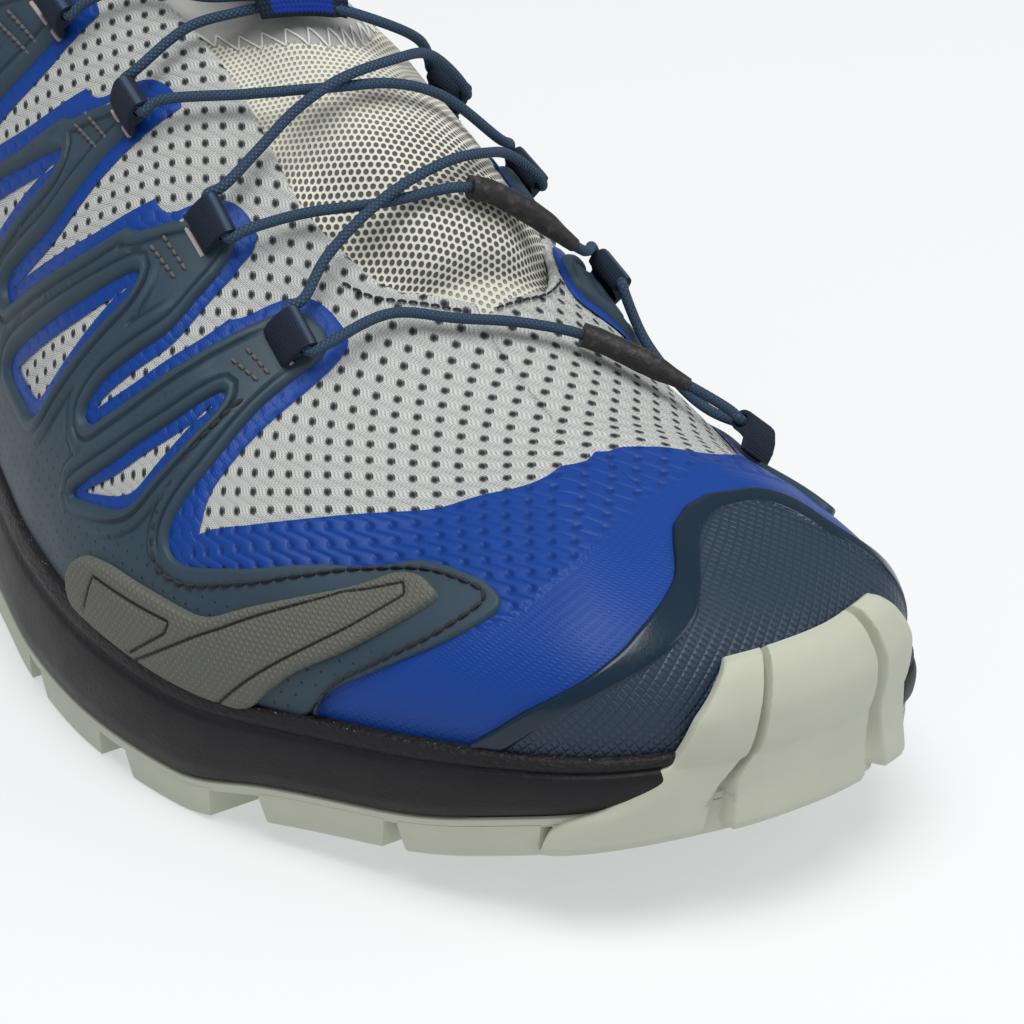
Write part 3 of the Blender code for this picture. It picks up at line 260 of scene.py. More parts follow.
# Metres over the knit: where a film and an overlay start at their edge, and how much they rise from there
FILM_FOOT = 0.00022
TOE_FILM_RISE = 0.00018
BORDER_FILM_RISE = 0.00026
WELD_RIDGE = 0.00010
CAGE_FOOT = 0.0004
CAGE_RISE = 0.0010
CAP_FOOT = 0.0003
CAP_RISE = 0.0012
CAP_SUNK = 0.0004
GUARD_FOOT = 0.0013
GUARD_RISE = 0.0017
GUARD_GROOVE = 0.0005
COUNTER_RISE = 0.0015
# How far inside the windows the film's border reaches
BORDER_REACH = 0.0019
# The rolls moulded along the cage's edges: metres high, metres from the edge, half their width
Roll = namedtuple("Roll", "high away half")
ROLLS = (Roll(0.0006, 0.0011, 0.0010), Roll(0.0007, 0.0031, 0.0011))
# About what one station and the whole climb measure on the shoe
PLAN = np.array((0.028, 0.075))

# The lugs' first and last station, and where each column of them starts and ends across the sole
LUGS = (
    (0.25, 1.10), (1.35, 2.10), (2.35, 3.00), (3.25, 3.95), (4.75, 5.10), (5.25, 5.95), (6.15, 7.05),
    (7.35, 8.12), (8.48, 9.35), (9.45, 10.55), (10.65, 11.45), (11.60, 12.60),
)
LUG_COLUMNS = ((0.0, 0.21), (0.30, 0.46), (0.54, 0.70), (0.79, 1.0))
CHEVRON = 0.008
CHEVRON_WIDTH = 1.6
CHEVRON_ENDS = (0.1, 0.2)
LUG_TAPER = 0.93
LUG_ROOT = 0.0008
# Each level of a lug: metres over its foot, and its size as a share of the root's
LUG_LEVELS = (
    (LUG + LUG_ROOT, 1.0), (LUG, 1.0), (0.0006, LUG_TAPER), (0.0002, LUG_TAPER - 0.02),
    (0.0, LUG_TAPER - 0.06),
)

# The bumper from its foot to its top edge: share of the way, its inner end's station, metres out, share of
# the height from its foot to the upper's edge, and climb
Bumper = namedtuple("Bumper", "level right out height climb")
BUMPER_ROWS = (
    Bumper(0.00, 14.70, -0.0003, 0.00, 0.000),
    Bumper(0.20, 14.70, 0.0000, 0.35, 0.000),
    Bumper(0.50, 14.69, 0.0000, 0.85, 0.000),
    Bumper(0.68, 14.66, 0.0051, 0.85, 0.110),
    Bumper(0.84, 14.58, 0.0050, 0.85, 0.195),
    Bumper(1.00, 14.46, 0.0043, 0.85, 0.262),
)
BUMPER_SHELL = (0.50, 0.68)
BUMPER_CLEAR = 0.0027
# How far the foam steps back behind the bumper, in two steps, and its stations on the inner side
SETBACK_STEPS = (0.0016, 0.0010)
SETBACK_INNER = (11.33, 11.45)
BUMPER_FOOT = 0.3

Loop = namedtuple("Loop", "name station climb turn")
LOOPS = (
    Loop("lateral_loop_1", 7.27, 0.690, 0),
    Loop("lateral_loop_2", 6.43, 0.672, 0),
    Loop("lateral_loop_3", 5.57, 0.665, 0),
    Loop("lateral_loop_4", 4.83, 0.660, 0),
    Loop("medial_loop_0", 17.22, 0.45, 90),
    Loop("medial_loop_1", 18.90, 0.48, 0),
    Loop("medial_loop_2", 19.70, 0.51, 0),
    Loop("medial_loop_3", 20.20, 0.58, 0),
    Loop("medial_loop_4", 21.17, 0.62, 0),
)
# The outer loops lean a little towards the toe
LOOP_LEAN = 0.05
SEEN_LOOPS = tuple(
    loop._replace(station=loop.station + LOOP_LEAN) if loop.station < TOE else loop for loop in LOOPS
)
LOOP_BASE = 0.0028
EYE = LACE / 2 + GAP
EYE_HEIGHT = LOOP_BASE + STRAP + EYE
EYE_REACH = 0.0006

Way = namedtuple("Way", "spine across out")
# The lace's two strands: the loops that each runs through, and its way between them
STRAND_A = (
    "medial_loop_0",
    (Way(0.767, 0.33, 0.0040), Way(0.745, 0.20, 0.0036), Way(0.731, 0.07, 0.0030),
     Way(0.719, -0.06, 0.0028), Way(0.706, -0.16, 0.0034)),
    "lateral_loop_1",
    (Way(0.673, -0.215, 0.0044), Way(0.664, -0.10, 0.0063), Way(0.658, 0.02, 0.0062),
     Way(0.650, 0.17, 0.0044), Way(0.636, 0.32, 0.0036)),
    "medial_loop_2",
    (Way(0.628, 0.31, 0.0036), Way(0.622, 0.14, 0.0040), Way(0.617, 0.02, 0.0042),
     Way(0.610, -0.075, 0.0042), Way(0.592, -0.19, 0.0038)),
    "lateral_loop_3",
    (Way(0.538, -0.20, 0.0040), Way(0.550, -0.12, 0.0040), Way(0.556, -0.07, 0.0042),
     Way(0.545, 0.04, 0.0050), Way(0.510, 0.18, 0.0042)),
    "medial_loop_4",
)
STRAND_B = (
    "medial_loop_0",
    (Way(0.762, 0.60, 0.0018), Way(0.735, 0.60, 0.0016), Way(0.708, 0.56, 0.0024)),
    "medial_loop_1",
    (Way(0.692, 0.31, 0.0054), Way(0.680, 0.18, 0.0054), Way(0.671, 0.05, 0.0058),
     Way(0.664, -0.10, 0.0044), Way(0.650, -0.21, 0.0036)),
    "lateral_loop_2",
    (Way(0.616, -0.22, 0.0040), Way(0.612, -0.15, 0.0048), Way(0.610, -0.075, 0.0061),
     Way(0.607, 0.05, 0.0052), Way(0.592, 0.22, 0.0040)),
    "medial_loop_3",
    (Way(0.580, 0.23, 0.0042), Way(0.586, 0.09, 0.0052), Way(0.574, 0.0, 0.0056), Way(0.556, -0.07, 0.0061),
     Way(0.530, -0.15, 0.0046), Way(0.490, -0.22, 0.0038)),
    "lateral_loop_4",
)
# Shares of the way through its first and last loop at which a strand starts and stops
HOLD_A = 0.95
HOLD_B = 0.5
LAST_HOLD = 0.6
# How far along each strand, in metres, its sleeve starts and ends
SLEEVE_1 = (0.0766, 0.0986)
SLEEVE_2 = (0.0186, 0.0378)
# The keeper's arch over the lace: share of LENGTH, metres over the skin
KEEPER = (
    (0.567, 0.0044), (0.561, 0.0074), (0.553, 0.0090), (0.532, 0.0090), (0.518, 0.0066), (0.508, 0.0034),
)
KEEPER_ACROSS = -0.045
KEEPER_THICK = 0.001
KEEPER_LEAN = 0.018
KEEPER_SHIFT = 0.0042
KEEPER_EDGE = 0.36

ORIGIN = np.array((-LENGTH / 2, (SECTIONS[7].outer - SECTIONS[8].inner) * BALL_WIDTH / 2, 0.0))

# Colours of small places, threads and linings, and of painted shade in holes, grooves and slots and a painted
# sheen on the sleeves
# Painted shade round the rims of the knit's holes
HOLE_RIM_SHADE = (0.10, 0.108, 0.115)
TONGUE_SHADE = (0.55, 0.55, 0.48)
# Painted shade in the cage's moulded grooves
OVERLAY_GROOVE_SHADE = (0.006, 0.011, 0.020)
# Painted shade inside the cage's pinholes
PINHOLE_SHADE = (0.006, 0.008, 0.012)
# Painted shade in the grooves between the toe cap's scales
SCALE_GROOVE_SHADE = (0.006, 0.014, 0.026)
# Painted shade in the guard's grooves
GUARD_GROOVE_SHADE = (0.012, 0.012, 0.011)
GLUE_SPECK = (0.45, 0.45, 0.42)
# Painted sheen on the crests of the sleeves' crinkles
SLEEVE_CREST_SHEEN = (0.09, 0.08, 0.085)
LINING = (0.045, 0.05, 0.06)
DARK_THREAD = (0.016, 0.018, 0.026)
GREY_THREAD = (0.10, 0.09, 0.10)
WHITE_THREAD = (0.58, 0.58, 0.56)
SLOT_EDGE = (0.34, 0.28, 0.28)
# Painted shade in the slots' openings
SLOT_SHADE = (0.006, 0.006, 0.008)

# Camera: metres from the shoe's own corner, and the way it looks
CAMERA_PLACE = Vector((0.7994, -0.4057, 0.4264))
CAMERA_AHEAD = Vector((-0.7111, 0.5129, -0.4808))
CAMERA_RIGHT = Vector((0.5757, 0.8174, 0.0206))
CAMERA_LENS = 173.7
CAMERA_SENSOR = 36.0

# Where the lamps stand and where they shine
LAMP_AIM = (0.05, 0, 0.04)
KEY_PLACE = (0.35, -0.25, 1.5)
FILL_PLACE = (0.9, 0.9, 0.9)


def smooth_column(places, values):
    """A curve through a column that rises and falls only where its rows do."""
    places = np.asarray(places, float)
    values = np.asarray(values, float)
    steps = np.diff(places)
    slopes = np.diff(values) / steps
    tangents = np.zeros(len(values))
    for i in range(1, len(places) - 1):
        if slopes[i - 1] * slopes[i] > 0:
            before = 2 * steps[i] + steps[i - 1]
            after = steps[i] + 2 * steps[i - 1]
            tangents[i] = (before + after) / (before / slopes[i - 1] + after / slopes[i])
    tangents[0] = slopes[0]
    tangents[-1] = slopes[-1]

    def value(place):
        place = np.asarray(place, float)
        i = np.clip(np.searchsorted(places, place) - 1, 0, len(steps) - 1)
        t = np.clip((place - places[i]) / steps[i], 0, 1)
        start = (1 + 2 * t) * (1 - t) ** 2 * values[i] + t * (1 - t) ** 2 * steps[i] * tangents[i]
        end = t ** 2 * (3 - 2 * t) * values[i + 1] - t ** 2 * (1 - t) * steps[i] * tangents[i + 1]
        return start + end
    return value


def table_curve(rows):
    return smooth_column([row[0] for row in rows], [row[1] for row in rows])


ROWS = range(TOE + 1)
COLUMN = {name: smooth_column(ROWS, [getattr(row, name) for row in SECTIONS]) for name in Section._fields}
RING = np.array(
    [(row.along * LENGTH, -row.outer * BALL_WIDTH) for row in SECTIONS]
    + [(row.along * LENGTH, row.inner * BALL_WIDTH) for row in SECTIONS[-2:0:-1]]
)
sole_share = table_curve(SOLE_LINE)
dish_share = table_curve(DISH)
side_out = table_curve(SIDE)
top_climb = table_curve(TOP_EDGE)
FOLDS = TONGUE[::-1]
tongue_rise = table_curve([(row.spine, row.rise) for row in FOLDS])
tongue_thick = table_curve([(row.spine, row.thick) for row in FOLDS])
tongue_half = table_curve([(row.spine, row.half) for row in FOLDS])


def ease(value, low, high):
    t = np.clip((value - low) / (high - low), 0.0, 1.0)
    return t * t * (3 - 2 * t)


def bump(value):
    """A round hump, 1 at zero and 0 from minus one and from one on."""
    return 1 - ease(np.abs(value), 0.0, 1.0)


def row_of(station):
    station = np.asarray(station, float) % AROUND
    return np.minimum(station, AROUND - station)


def curve_through(points, place):
    """A closed curve through the points, at places counted in points."""
    place = np.asarray(place, float)
    count = len(points)
    first = np.floor(place).astype(int)
    t = (place - first)[..., None]
    a, b, c, d = (points[(first + k) % count] for k in (-1, 0, 1, 2))
    sides = ((a, b), (b, c), (c, d))
    ab, bc, cd = (np.sqrt(np.linalg.norm(q - p, axis=-1, keepdims=True)) for p, q in sides)
    leave = (c - b) + bc * ((b - a) / ab - (c - a) / (ab + bc))
    arrive = (c - b) + bc * ((d - c) / cd - (d - b) / (bc + cd))
    cube = 2 * b - 2 * c + leave + arrive
    square = 3 * c - 3 * b - 2 * leave - arrive
    return ((cube * t + square) * t + leave) * t + b


def unit(vectors):
    return vectors / np.maximum(np.linalg.norm(vectors, axis=-1, keepdims=True), 1e-12)


def ring(station, out=0.0):
    """The sole's outline in plan, moved out by some metres."""
    station = np.asarray(station, float)
    step = 0.001
    tangent = unit(curve_through(RING, station + step) - curve_through(RING, station - step))
    side = np.stack([tangent[..., 1], -tangent[..., 0]], -1)
    return curve_through(RING, station) + side * np.asarray(out, float)[..., None]


def bite(station):
    return COLUMN["bite"](row_of(station)) * HEEL_SOLE


def sole_height(x):
    return sole_share(x / LENGTH) * TOE_SPRING


def side_point(station, out, height):
    station, out, height = np.broadcast_arrays(station, out, height)
    return np.concatenate([ring(station, out), height[..., None]], -1)


def rib_point(station, climb):
    station, climb = np.broadcast_arrays(np.asarray(station, float), np.asarray(climb, float))
    row = row_of(station)
    foot = ring(station, np.full(station.shape, -SEAT))
    spine = COLUMN["spine"](row)
    across = np.interp(spine, [p[0] for p in RIDGE], [p[1] for p in RIDGE])
    inward = np.stack([spine * LENGTH, across * BALL_WIDTH], -1) - foot
    run = COLUMN["reach"](row) * np.linalg.norm(inward, axis=-1)
    inward = unit(inward)
    low = bite(station)
    crown = COLUMN["crown"](row) * INSTEP
    weights = ((1 - climb) ** 3, 3 * (1 - climb) ** 2 * climb, 3 * (1 - climb) * climb ** 2, climb ** 3)
    reach = weights[1] * -SWELL + weights[2] * run * COLUMN["crown_in"](row) + weights[3] * run
    height = weights[0] * low + weights[1] * (low + COLUMN["rise"](row) * INSTEP)
    height = height + weights[2] * (crown - COLUMN["crown_drop"](row) * INSTEP) + weights[3] * crown
    return np.concatenate([foot + inward * reach[..., None], height[..., None]], -1)


# The instep's rows, from behind the throat to the toe's box
INSTEP_ROWS = (3.6, 9.0)

# The skin, sampled finely once: places, outward normals and lengths along and up it
STATION_STEP = 0.02
CLIMB_STEPS = 100
NEAR_RIDGE = 98


def sample_skin():
    stations = np.arange(0, round(AROUND / STATION_STEP) + 1) * STATION_STEP
    climbs = np.linspace(0, 1, CLIMB_STEPS + 1)
    place = rib_point(stations[:, None], climbs[None, :])
    ahead = np.roll(place[:-1], -1, 0) - np.roll(place[:-1], 1, 0)
    ahead = np.concatenate([ahead, ahead[:1]])
    up = np.gradient(place, axis=1)
    normal = unit(np.cross(ahead, up))
    normal[:, NEAR_RIDGE:] = normal[:, NEAR_RIDGE - 1:NEAR_RIDGE]
    along = np.linalg.norm(np.diff(place, axis=0), axis=-1).cumsum(0)
    along = np.concatenate([np.zeros((1, len(climbs))), along])
    along -= along[round(TOE / STATION_STEP)]
    climb_length = np.linalg.norm(np.diff(place, axis=1), axis=-1).cumsum(1)
    climb_length = np.concatenate([np.zeros((len(stations), 1)), climb_length], 1)
    return place, normal, np.stack([along, climb_length], -1)


SKIN_PLACE, SKIN_NORMAL, SKIN_LENGTHS = sample_skin()


def read_samples(samples, station, climb):
    station, climb = np.broadcast_arrays(np.asarray(station, float), np.asarray(climb, float))
    s = (station % AROUND) / STATION_STEP
    i = np.minimum(np.floor(s).astype(int), len(samples) - 2)
    fs = (s - i)[..., None]
    c = np.clip(climb, 0, 1) * CLIMB_STEPS
    k = np.minimum(np.floor(c).astype(int), CLIMB_STEPS - 1)
    fc = (c - k)[..., None]
    low = samples[i, k] * (1 - fs) + samples[i + 1, k] * fs
    high = samples[i, k + 1] * (1 - fs) + samples[i + 1, k + 1] * fs
    return low * (1 - fc) + high * fc


def skin(station, climb, out=0.0):
    """A place on the skin or over it. Below the sole's edge it goes straight down."""
    normal = unit(read_samples(SKIN_NORMAL, station, climb))
    place = read_samples(SKIN_PLACE, station, climb) + normal * np.asarray(out, float)[..., None]
    place[..., 2] += np.minimum(climb, 0.0) * PLAN[1]
    return place


def skin_axes(station, climb):
    """A place on the skin, its run along the stations, its run up to the ridge, and its outward normal."""
    step = 0.01
    run = unit(rib_point(station + step, climb) - rib_point(station - step, climb))
    up = rib_point(station, climb + step) - rib_point(station, climb - step)
    normal = unit(np.cross(run, up))
    return rib_point(station, climb), run, np.cross(normal, run), normal


def station_of_spine(spine):
    rows = np.linspace(*INSTEP_ROWS, 541)
    return np.interp(spine, COLUMN["spine"](rows), rows)


def top_place(spine, across):
    """Station and climb of a place over the instep."""
    station = station_of_spine(spine)
    station = np.where(np.asarray(across) > 0, AROUND - station, station)
    return station, 1 - np.abs(across)


def top_point(spine, across, out=0.0):
    station, climb = top_place(spine, across)
    return skin(station, climb, np.broadcast_to(out, np.shape(station)))


def middle_line():
    """The ridge and the toe's middle, as points from the heel to the toe."""
    rows = np.linspace(0, 9, 91)
    spine = COLUMN["spine"](rows)
    across = np.interp(spine, [p[0] for p in RIDGE], [p[1] for p in RIDGE])
    ridge = np.stack([spine * LENGTH, across * BALL_WIDTH, COLUMN["crown"](rows) * INSTEP], -1)
    line = np.concatenate([ridge, rib_point(np.full(60, TOE), np.linspace(0.98, 0, 60))])
    line[:, 0] = np.maximum.accumulate(line[:, 0] + np.arange(len(line)) * 1e-7)
    return line


MIDDLE = middle_line()
MIDDLE_LENGTH = np.concatenate([[0.0], np.hypot(np.diff(MIDDLE[:, 0]), np.diff(MIDDLE[:, 2])).cumsum()])
SLOPE_SHARE = 1.2


def draped(points):
    """Pattern places in millimetres, as cloth laid over the middle line and down both sides."""
    x = points[:, 0]
    across = points[:, 1] - np.interp(x, MIDDLE[:, 0], MIDDLE[:, 1])
    down = points[:, 2] - np.interp(x, MIDDLE[:, 0], MIDDLE[:, 2])
    sideways = np.sign(across) * (np.abs(across) + np.abs(down)) / SLOPE_SHARE
    return np.stack([np.interp(x, MIDDLE[:, 0], MIDDLE_LENGTH), sideways], -1) / MM


def wrapped(station, climb):
    """Pattern places in millimetres, along the skin from the toe's middle and up from the sole."""
    return read_samples(SKIN_LENGTHS, station, climb) / MM


# The bumper's outer end: share of the height to the upper's edge, station
BUMPER_LEFT = (
    (0.0, 10.55), (0.20, 10.62), (0.31, 10.75), (0.43, 11.06), (0.65, 11.44), (0.85, 11.56), (1.0, 11.64),
)
# Its lower part, and the share of the bumper's way up at which it reaches the upper's edge
BUMPER_LOW_LEFT = BUMPER_LEFT[:4]
EDGE_LEVEL = 0.588
# Its outer end over the upper's edge and where its two grooves run: share of the way up, station
BUMPER_TOP_LEFT = ((0.60, 11.64), (0.68, 11.75), (0.84, 11.94), (1.0, 12.10))
BUMPER_GROOVES = (
    table_curve(((0.0, 11.95), (0.30, 12.02), (0.55, 12.30), (1.0, 12.62))),
    table_curve(((0.0, 14.24), (0.50, 14.24), (1.0, 14.16))),
)


class Field:
    """A value over a surface, so that a pattern of math nodes reads as a formula."""

    def __init__(self, tree, source):
        self.tree = tree
        self.source = source

    def math(self, operation, *others):
        node = self.tree.nodes.new("ShaderNodeMath")
        node.operation = operation
        for socket, value in zip(node.inputs, (self, *others)):
            if isinstance(value, Field):
                self.tree.links.new(value.source, socket)
            else:
                socket.default_value = value
        return Field(self.tree, node.outputs[0])

    def __add__(self, other):
        return self.math("ADD", other)

    def __sub__(self, other):
        return self.math("SUBTRACT", other)

    def __mul__(self, other):
        return self.math("MULTIPLY", other)

    def __truediv__(self, other):
        return self.math("DIVIDE", other)

    def fract(self):
        return self.math("FRACT")

    def floor(self):
        return self.math("FLOOR")

    def size(self):
        return self.math("ABSOLUTE")

    def wave(self):
        """A sine with a period of 1."""
        return (self * (2 * math.pi)).math("SINE")

    def lowest(self, other):
        return self.math("MINIMUM", other)

    def highest(self, other):
        return self.math("MAXIMUM", other)

    def fade(self, low, high):
        """0 below low, 1 above high, and smooth between."""
        node = self.tree.nodes.new("ShaderNodeMapRange")
        node.interpolation_type = "SMOOTHSTEP"
        self.tree.links.new(self.source, node.inputs["Value"])
        node.inputs["From Min"].default_value = low
        node.inputs["From Max"].default_value = high
        return Field(self.tree, node.outputs["Result"])


class Finish:
    """A material being made: its shader, the patterns it reads and its relief."""

    def __init__(self, name, colour, roughness, **sockets):
        self.material = bpy.data.materials.new(name)
        self.material.use_nodes = True
        self.tree = self.material.node_tree
        self.shader = self.tree.nodes["Principled BSDF"]
        self.shader.inputs["Base Color"].default_value = (*colour, 1.0)
        self.shader.inputs["Roughness"].default_value = roughness
        for socket, value in sockets.items():
            self.shader.inputs[socket.replace("_", " ")].default_value = value
        self.colour = None
        self.normal = None

    def places(self, layer):
        node = self.tree.nodes.new("ShaderNodeUVMap")
        node.uv_map = layer
        split = self.tree.nodes.new("ShaderNodeSeparateXYZ")
        self.tree.links.new(node.outputs["UV"], split.inputs["Vector"])
        return Field(self.tree, split.outputs["X"]), Field(self.tree, split.outputs["Y"])

    def mark(self, name):
        node = self.tree.nodes.new("ShaderNodeAttribute")
        node.attribute_name = name
        return Field(self.tree, node.outputs["Fac"])

    def noise(self, size, detail=2.0, stretch=(1.0, 1.0, 1.0)):
        """Soft noise in space, from 0 to 1, with lumps of about that size in millimetres."""
        where = self.tree.nodes.new("ShaderNodeTexCoord")
        scale = self.tree.nodes.new("ShaderNodeMapping")
        scale.inputs["Scale"].default_value = stretch
        node = self.tree.nodes.new("ShaderNodeTexNoise")
        node.inputs["Scale"].default_value = 1 / (size * MM)
        node.inputs["Detail"].default_value = detail
        self.tree.links.new(where.outputs["Object"], scale.inputs["Vector"])
        self.tree.links.new(scale.outputs["Vector"], node.inputs["Vector"])
        return Field(self.tree, node.outputs["Fac"])

    def tint(self, share, colour):
        """Another colour where the share is 1, over what the material has so far."""
        node = self.tree.nodes.new("ShaderNodeMix")
        node.data_type = "RGBA"
        below, above = node.inputs[6], node.inputs[7]
        if self.colour is None:
            below.default_value = self.shader.inputs["Base Color"].default_value
        else:
            self.tree.links.new(self.colour, below)
        above.default_value = (*colour, 1.0)
        self.tree.links.new(share.source, node.inputs["Factor"])
        self.colour = node.outputs[2]
        self.tree.links.new(self.colour, self.shader.inputs["Base Color"])

    def roughen(self, share, low, high):
        self.tree.links.new((share * (high - low) + low).source, self.shader.inputs["Roughness"])

    def relief(self, height, strength=1.0):
        """Raises the surface by a height in millimetres."""
        node = self.tree.nodes.new("ShaderNodeBump")
        node.inputs["Distance"].default_value = MM
        node.inputs["Strength"].default_value = strength
        self.tree.links.new(height.source, node.inputs["Height"])
        if self.normal is not None:
            self.tree.links.new(self.normal, node.inputs["Normal"])
        self.normal = node.outputs["Normal"]
        self.tree.links.new(self.normal, self.shader.inputs["Normal"])


def knit_places(u, v):
    """Column and row of the knit's lattice: its cords lean across the foot."""
    return v * 0.4268 - u * 0.0859, u * 0.2480 - v * 0.2121


def knit_hole(column, row):
    """Distance from the nearest hole's middle, 1 on its edge."""
    side = (column + 0.5).fract() - 0.5
    step = (row + 0.5).fract() - 0.5
    return round_distance((side * 2.42 + step * 4.87) * 1.4, (side * 2.83 + step * 0.98) * 1.4)


def staggered(u, v, pitch, row_height):
    """Places inside the cells of a grid whose every other row is shifted by half a cell."""
    rows = v / row_height
    cell_u = (u / pitch + rows.floor() * 0.5).fract() - 0.5
    return cell_u * pitch, (rows.fract() - 0.5) * row_height


def round_distance(x, y):
    return (x * x + y * y).math("SQRT")


def hex_distance(u, v, pitch):
    """Distance to the nearest point of a lattice of equal triangles."""
    tall = pitch * math.sqrt(3)
    near = []
    for shift in (0.0, 0.5):
        x = ((u / pitch + shift).fract() - 0.5) * pitch
        y = ((v / tall + shift).fract() - 0.5) * tall
        near.append(round_distance(x, y))
    return near[0].lowest(near[1])


def diamonds(u, v, wide, tall):
    """A lattice of raised diamonds, from 0 in its grooves to 1."""
    first = ((u / wide + v / tall) * math.pi).math("SINE").size()
    second = ((u / wide - v / tall) * math.pi).math("SINE").size()
    return first.lowest(second)


def knit_cords(column, row):
    """The knit's cords as they wind between the holes: 0 in a hole's column, 1 on a cord's middle."""
    wound = column - (row + 0.545).wave() * 0.15
    return wound, (wound * 0.5).wave().size()


def knit_finish(looks):
    """Light knitted mesh: cords of fine stitches that wind between round holes, with painted shade round the
    holes' rims and inside them.
    """
    finish = Finish("knit_mesh", looks.knit_colour, 0.9)
    finish.shader.inputs["Specular IOR Level"].default_value = 0.15
    u, v = finish.places("draped")
    column, row = knit_places(u, v)
    hole = knit_hole(column, row)
    wound, cords = knit_cords(column, row)
    threads = ((wound * 5.0).fract() - 0.5).size()
    stitch = (row * 11.0).wave() * 0.5 + 0.5
    line = threads.fade(0.24, 0.44)
    body = (row * 11.0 + threads * 1.4).wave() * 0.5 + 0.5
    finish.relief(hole.fade(0.75, 1.3) * 0.5 + cords * 0.15, 0.9)
    finish.relief((line * -1.0 + 1.0) * (body * 0.5 + 0.5) * 0.14, 0.9)
    finish.tint(line * (stitch.fade(0.15, 0.75) * 0.75 + 0.25) * 0.75, looks.knit_shadow)
    finish.tint((body.fade(0.0, 0.5) * -1.0 + 1.0) * 0.30, looks.knit_shadow)
    # painted shade: a darker ring round each hole and a near black inside, for the shaded lining seen through it
    finish.tint(hole.fade(0.78, 1.05) * -1.0 + 1.0, HOLE_RIM_SHADE)
    finish.tint(hole.fade(0.35, 0.85) * -1.0 + 1.0, looks.hole_shade)
    return finish.material


def tongue_finish(looks):
    """Cream mesh with six-sided holes, wider over the dome at the throat's end, with painted shade in the holes
    that is deeper over the dome.
    """
    finish = Finish("tongue_mesh", looks.tongue_colour, 0.8)
    finish.shader.inputs["Specular IOR Level"].default_value = 0.15
    u, v = finish.places("draped")
    dome = finish.mark("dome")
    near = hex_distance(u, v, 1.0)
    edge = near - dome * 0.06
    hole = edge.fade(0.20, 0.34) * -1.0 + 1.0
    finish.tint(finish.noise(9.0) * 0.25, TONGUE_SHADE)
    # painted shade in the holes, deeper over the raised dome
    finish.tint(hole * (dome * 0.35 + 0.55), looks.hole_shade)
    finish.relief(hole * -0.35, 0.9)
    return finish.material


def film_finish(looks):
    """Blue film: dented by the knit's holes near it, and marked by fine small dashes beyond the weld."""
    finish = Finish("blue_film", looks.film_colour, 0.45)
    finish.shader.inputs["Specular IOR Level"].default_value = 0.22
    u, v = finish.places("draped")
    column, row = knit_places(u, v)
    dent = knit_hole(column, row).fade(0.2, 1.5)
    _, cords = knit_cords(column, row)
    knit_share = finish.mark("knit")
    across, up = finish.places("wrapped")
    x, y = staggered(across, up + across * 0.2, 1.5, 0.62)
    dash = round_distance(x * 0.55, y).fade(0.12, 0.30)
    finish.relief((dent * 0.30 + cords * 0.22) * knit_share, 0.9)
    finish.relief(dash * (knit_share * -1.0 + 1.0) * -0.06, 0.6)
    finish.relief(finish.noise(0.5, 3.0) * 0.05, 0.5)
    finish.tint((dent.fade(0.0, 0.8) * -1.0 + 1.0) * knit_share * 0.6, looks.film_shadow)
    finish.roughen(finish.noise(4.0), 0.40, 0.52)
    return finish.material


def overlay_finish(looks):
    """Navy film with a fine grain, moulded lines along its windows, and pinholes low on the side, with painted
    shade in the moulded lines and in the pinholes.
    """
    finish = Finish("navy_film", looks.overlay_colour, 0.48)
    finish.shader.inputs["Specular IOR Level"].default_value = 0.25
    across, up = finish.places("wrapped")
    low = finish.mark("low")
    window = finish.mark("window")
    x, y = staggered(across, up, 2.6, 2.2)
    pin = round_distance(x, y).fade(0.14, 0.30) * -1.0 + 1.0
    first = ((window - 2.0).size() * -2.2 + 1.0).highest(0.0) * finish.mark("rolled")
    second = ((window - 4.2).size() * -2.2 + 1.0).highest(0.0) * finish.mark("twice")
    groove = first.highest(second * 0.8)
    finish.relief(groove * -0.35, 0.9)
    finish.relief(finish.noise(0.45, 3.0) * 0.035, 0.6)
    finish.relief(pin * low * -0.15, 0.8)
    finish.tint(finish.noise(25.0, 3.0).fade(0.35, 0.75) * 0.5, looks.overlay_light)
    # painted shade in the moulded grooves along the windows
    finish.tint(groove.fade(0.1, 0.9) * 0.55, OVERLAY_GROOVE_SHADE)
    # painted shade inside the pinholes
    finish.tint(pin * low * 0.8, PINHOLE_SHADE)
    finish.roughen(finish.noise(6.0, 3.0), 0.42, 0.56)
    return finish.material


def toe_cap_finish(looks):
    """Deep navy film: small raised scales inside a smooth glossy border, with painted shade in the grooves
    between the scales and painted light on the field of scales, which faces up.
    """
    finish = Finish("toe_cap_film", looks.cap_colour, 0.3)
    finish.shader.inputs["Specular IOR Level"].default_value = 0.35
    across, up = finish.places("wrapped")
    inner = finish.mark("inner")
    scales = diamonds(across, up + across * 0.25, 1.7, 1.9)
    finish.relief(scales.fade(0.05, 0.8) * inner * 0.15, 0.9)
    finish.relief(finish.noise(0.5, 2.0) * 0.03, 0.5)
    # painted light: the field of scales is made paler because it faces up to the lamps
    finish.tint(inner * 0.6, looks.lit_cap_field)
    # painted shade in the grooves between the scales
    finish.tint((scales.fade(0.0, 0.35) * -1.0 + 1.0) * inner * 0.5, SCALE_GROOVE_SHADE)
    finish.roughen(inner, 0.22, 0.42)
    return finish.material


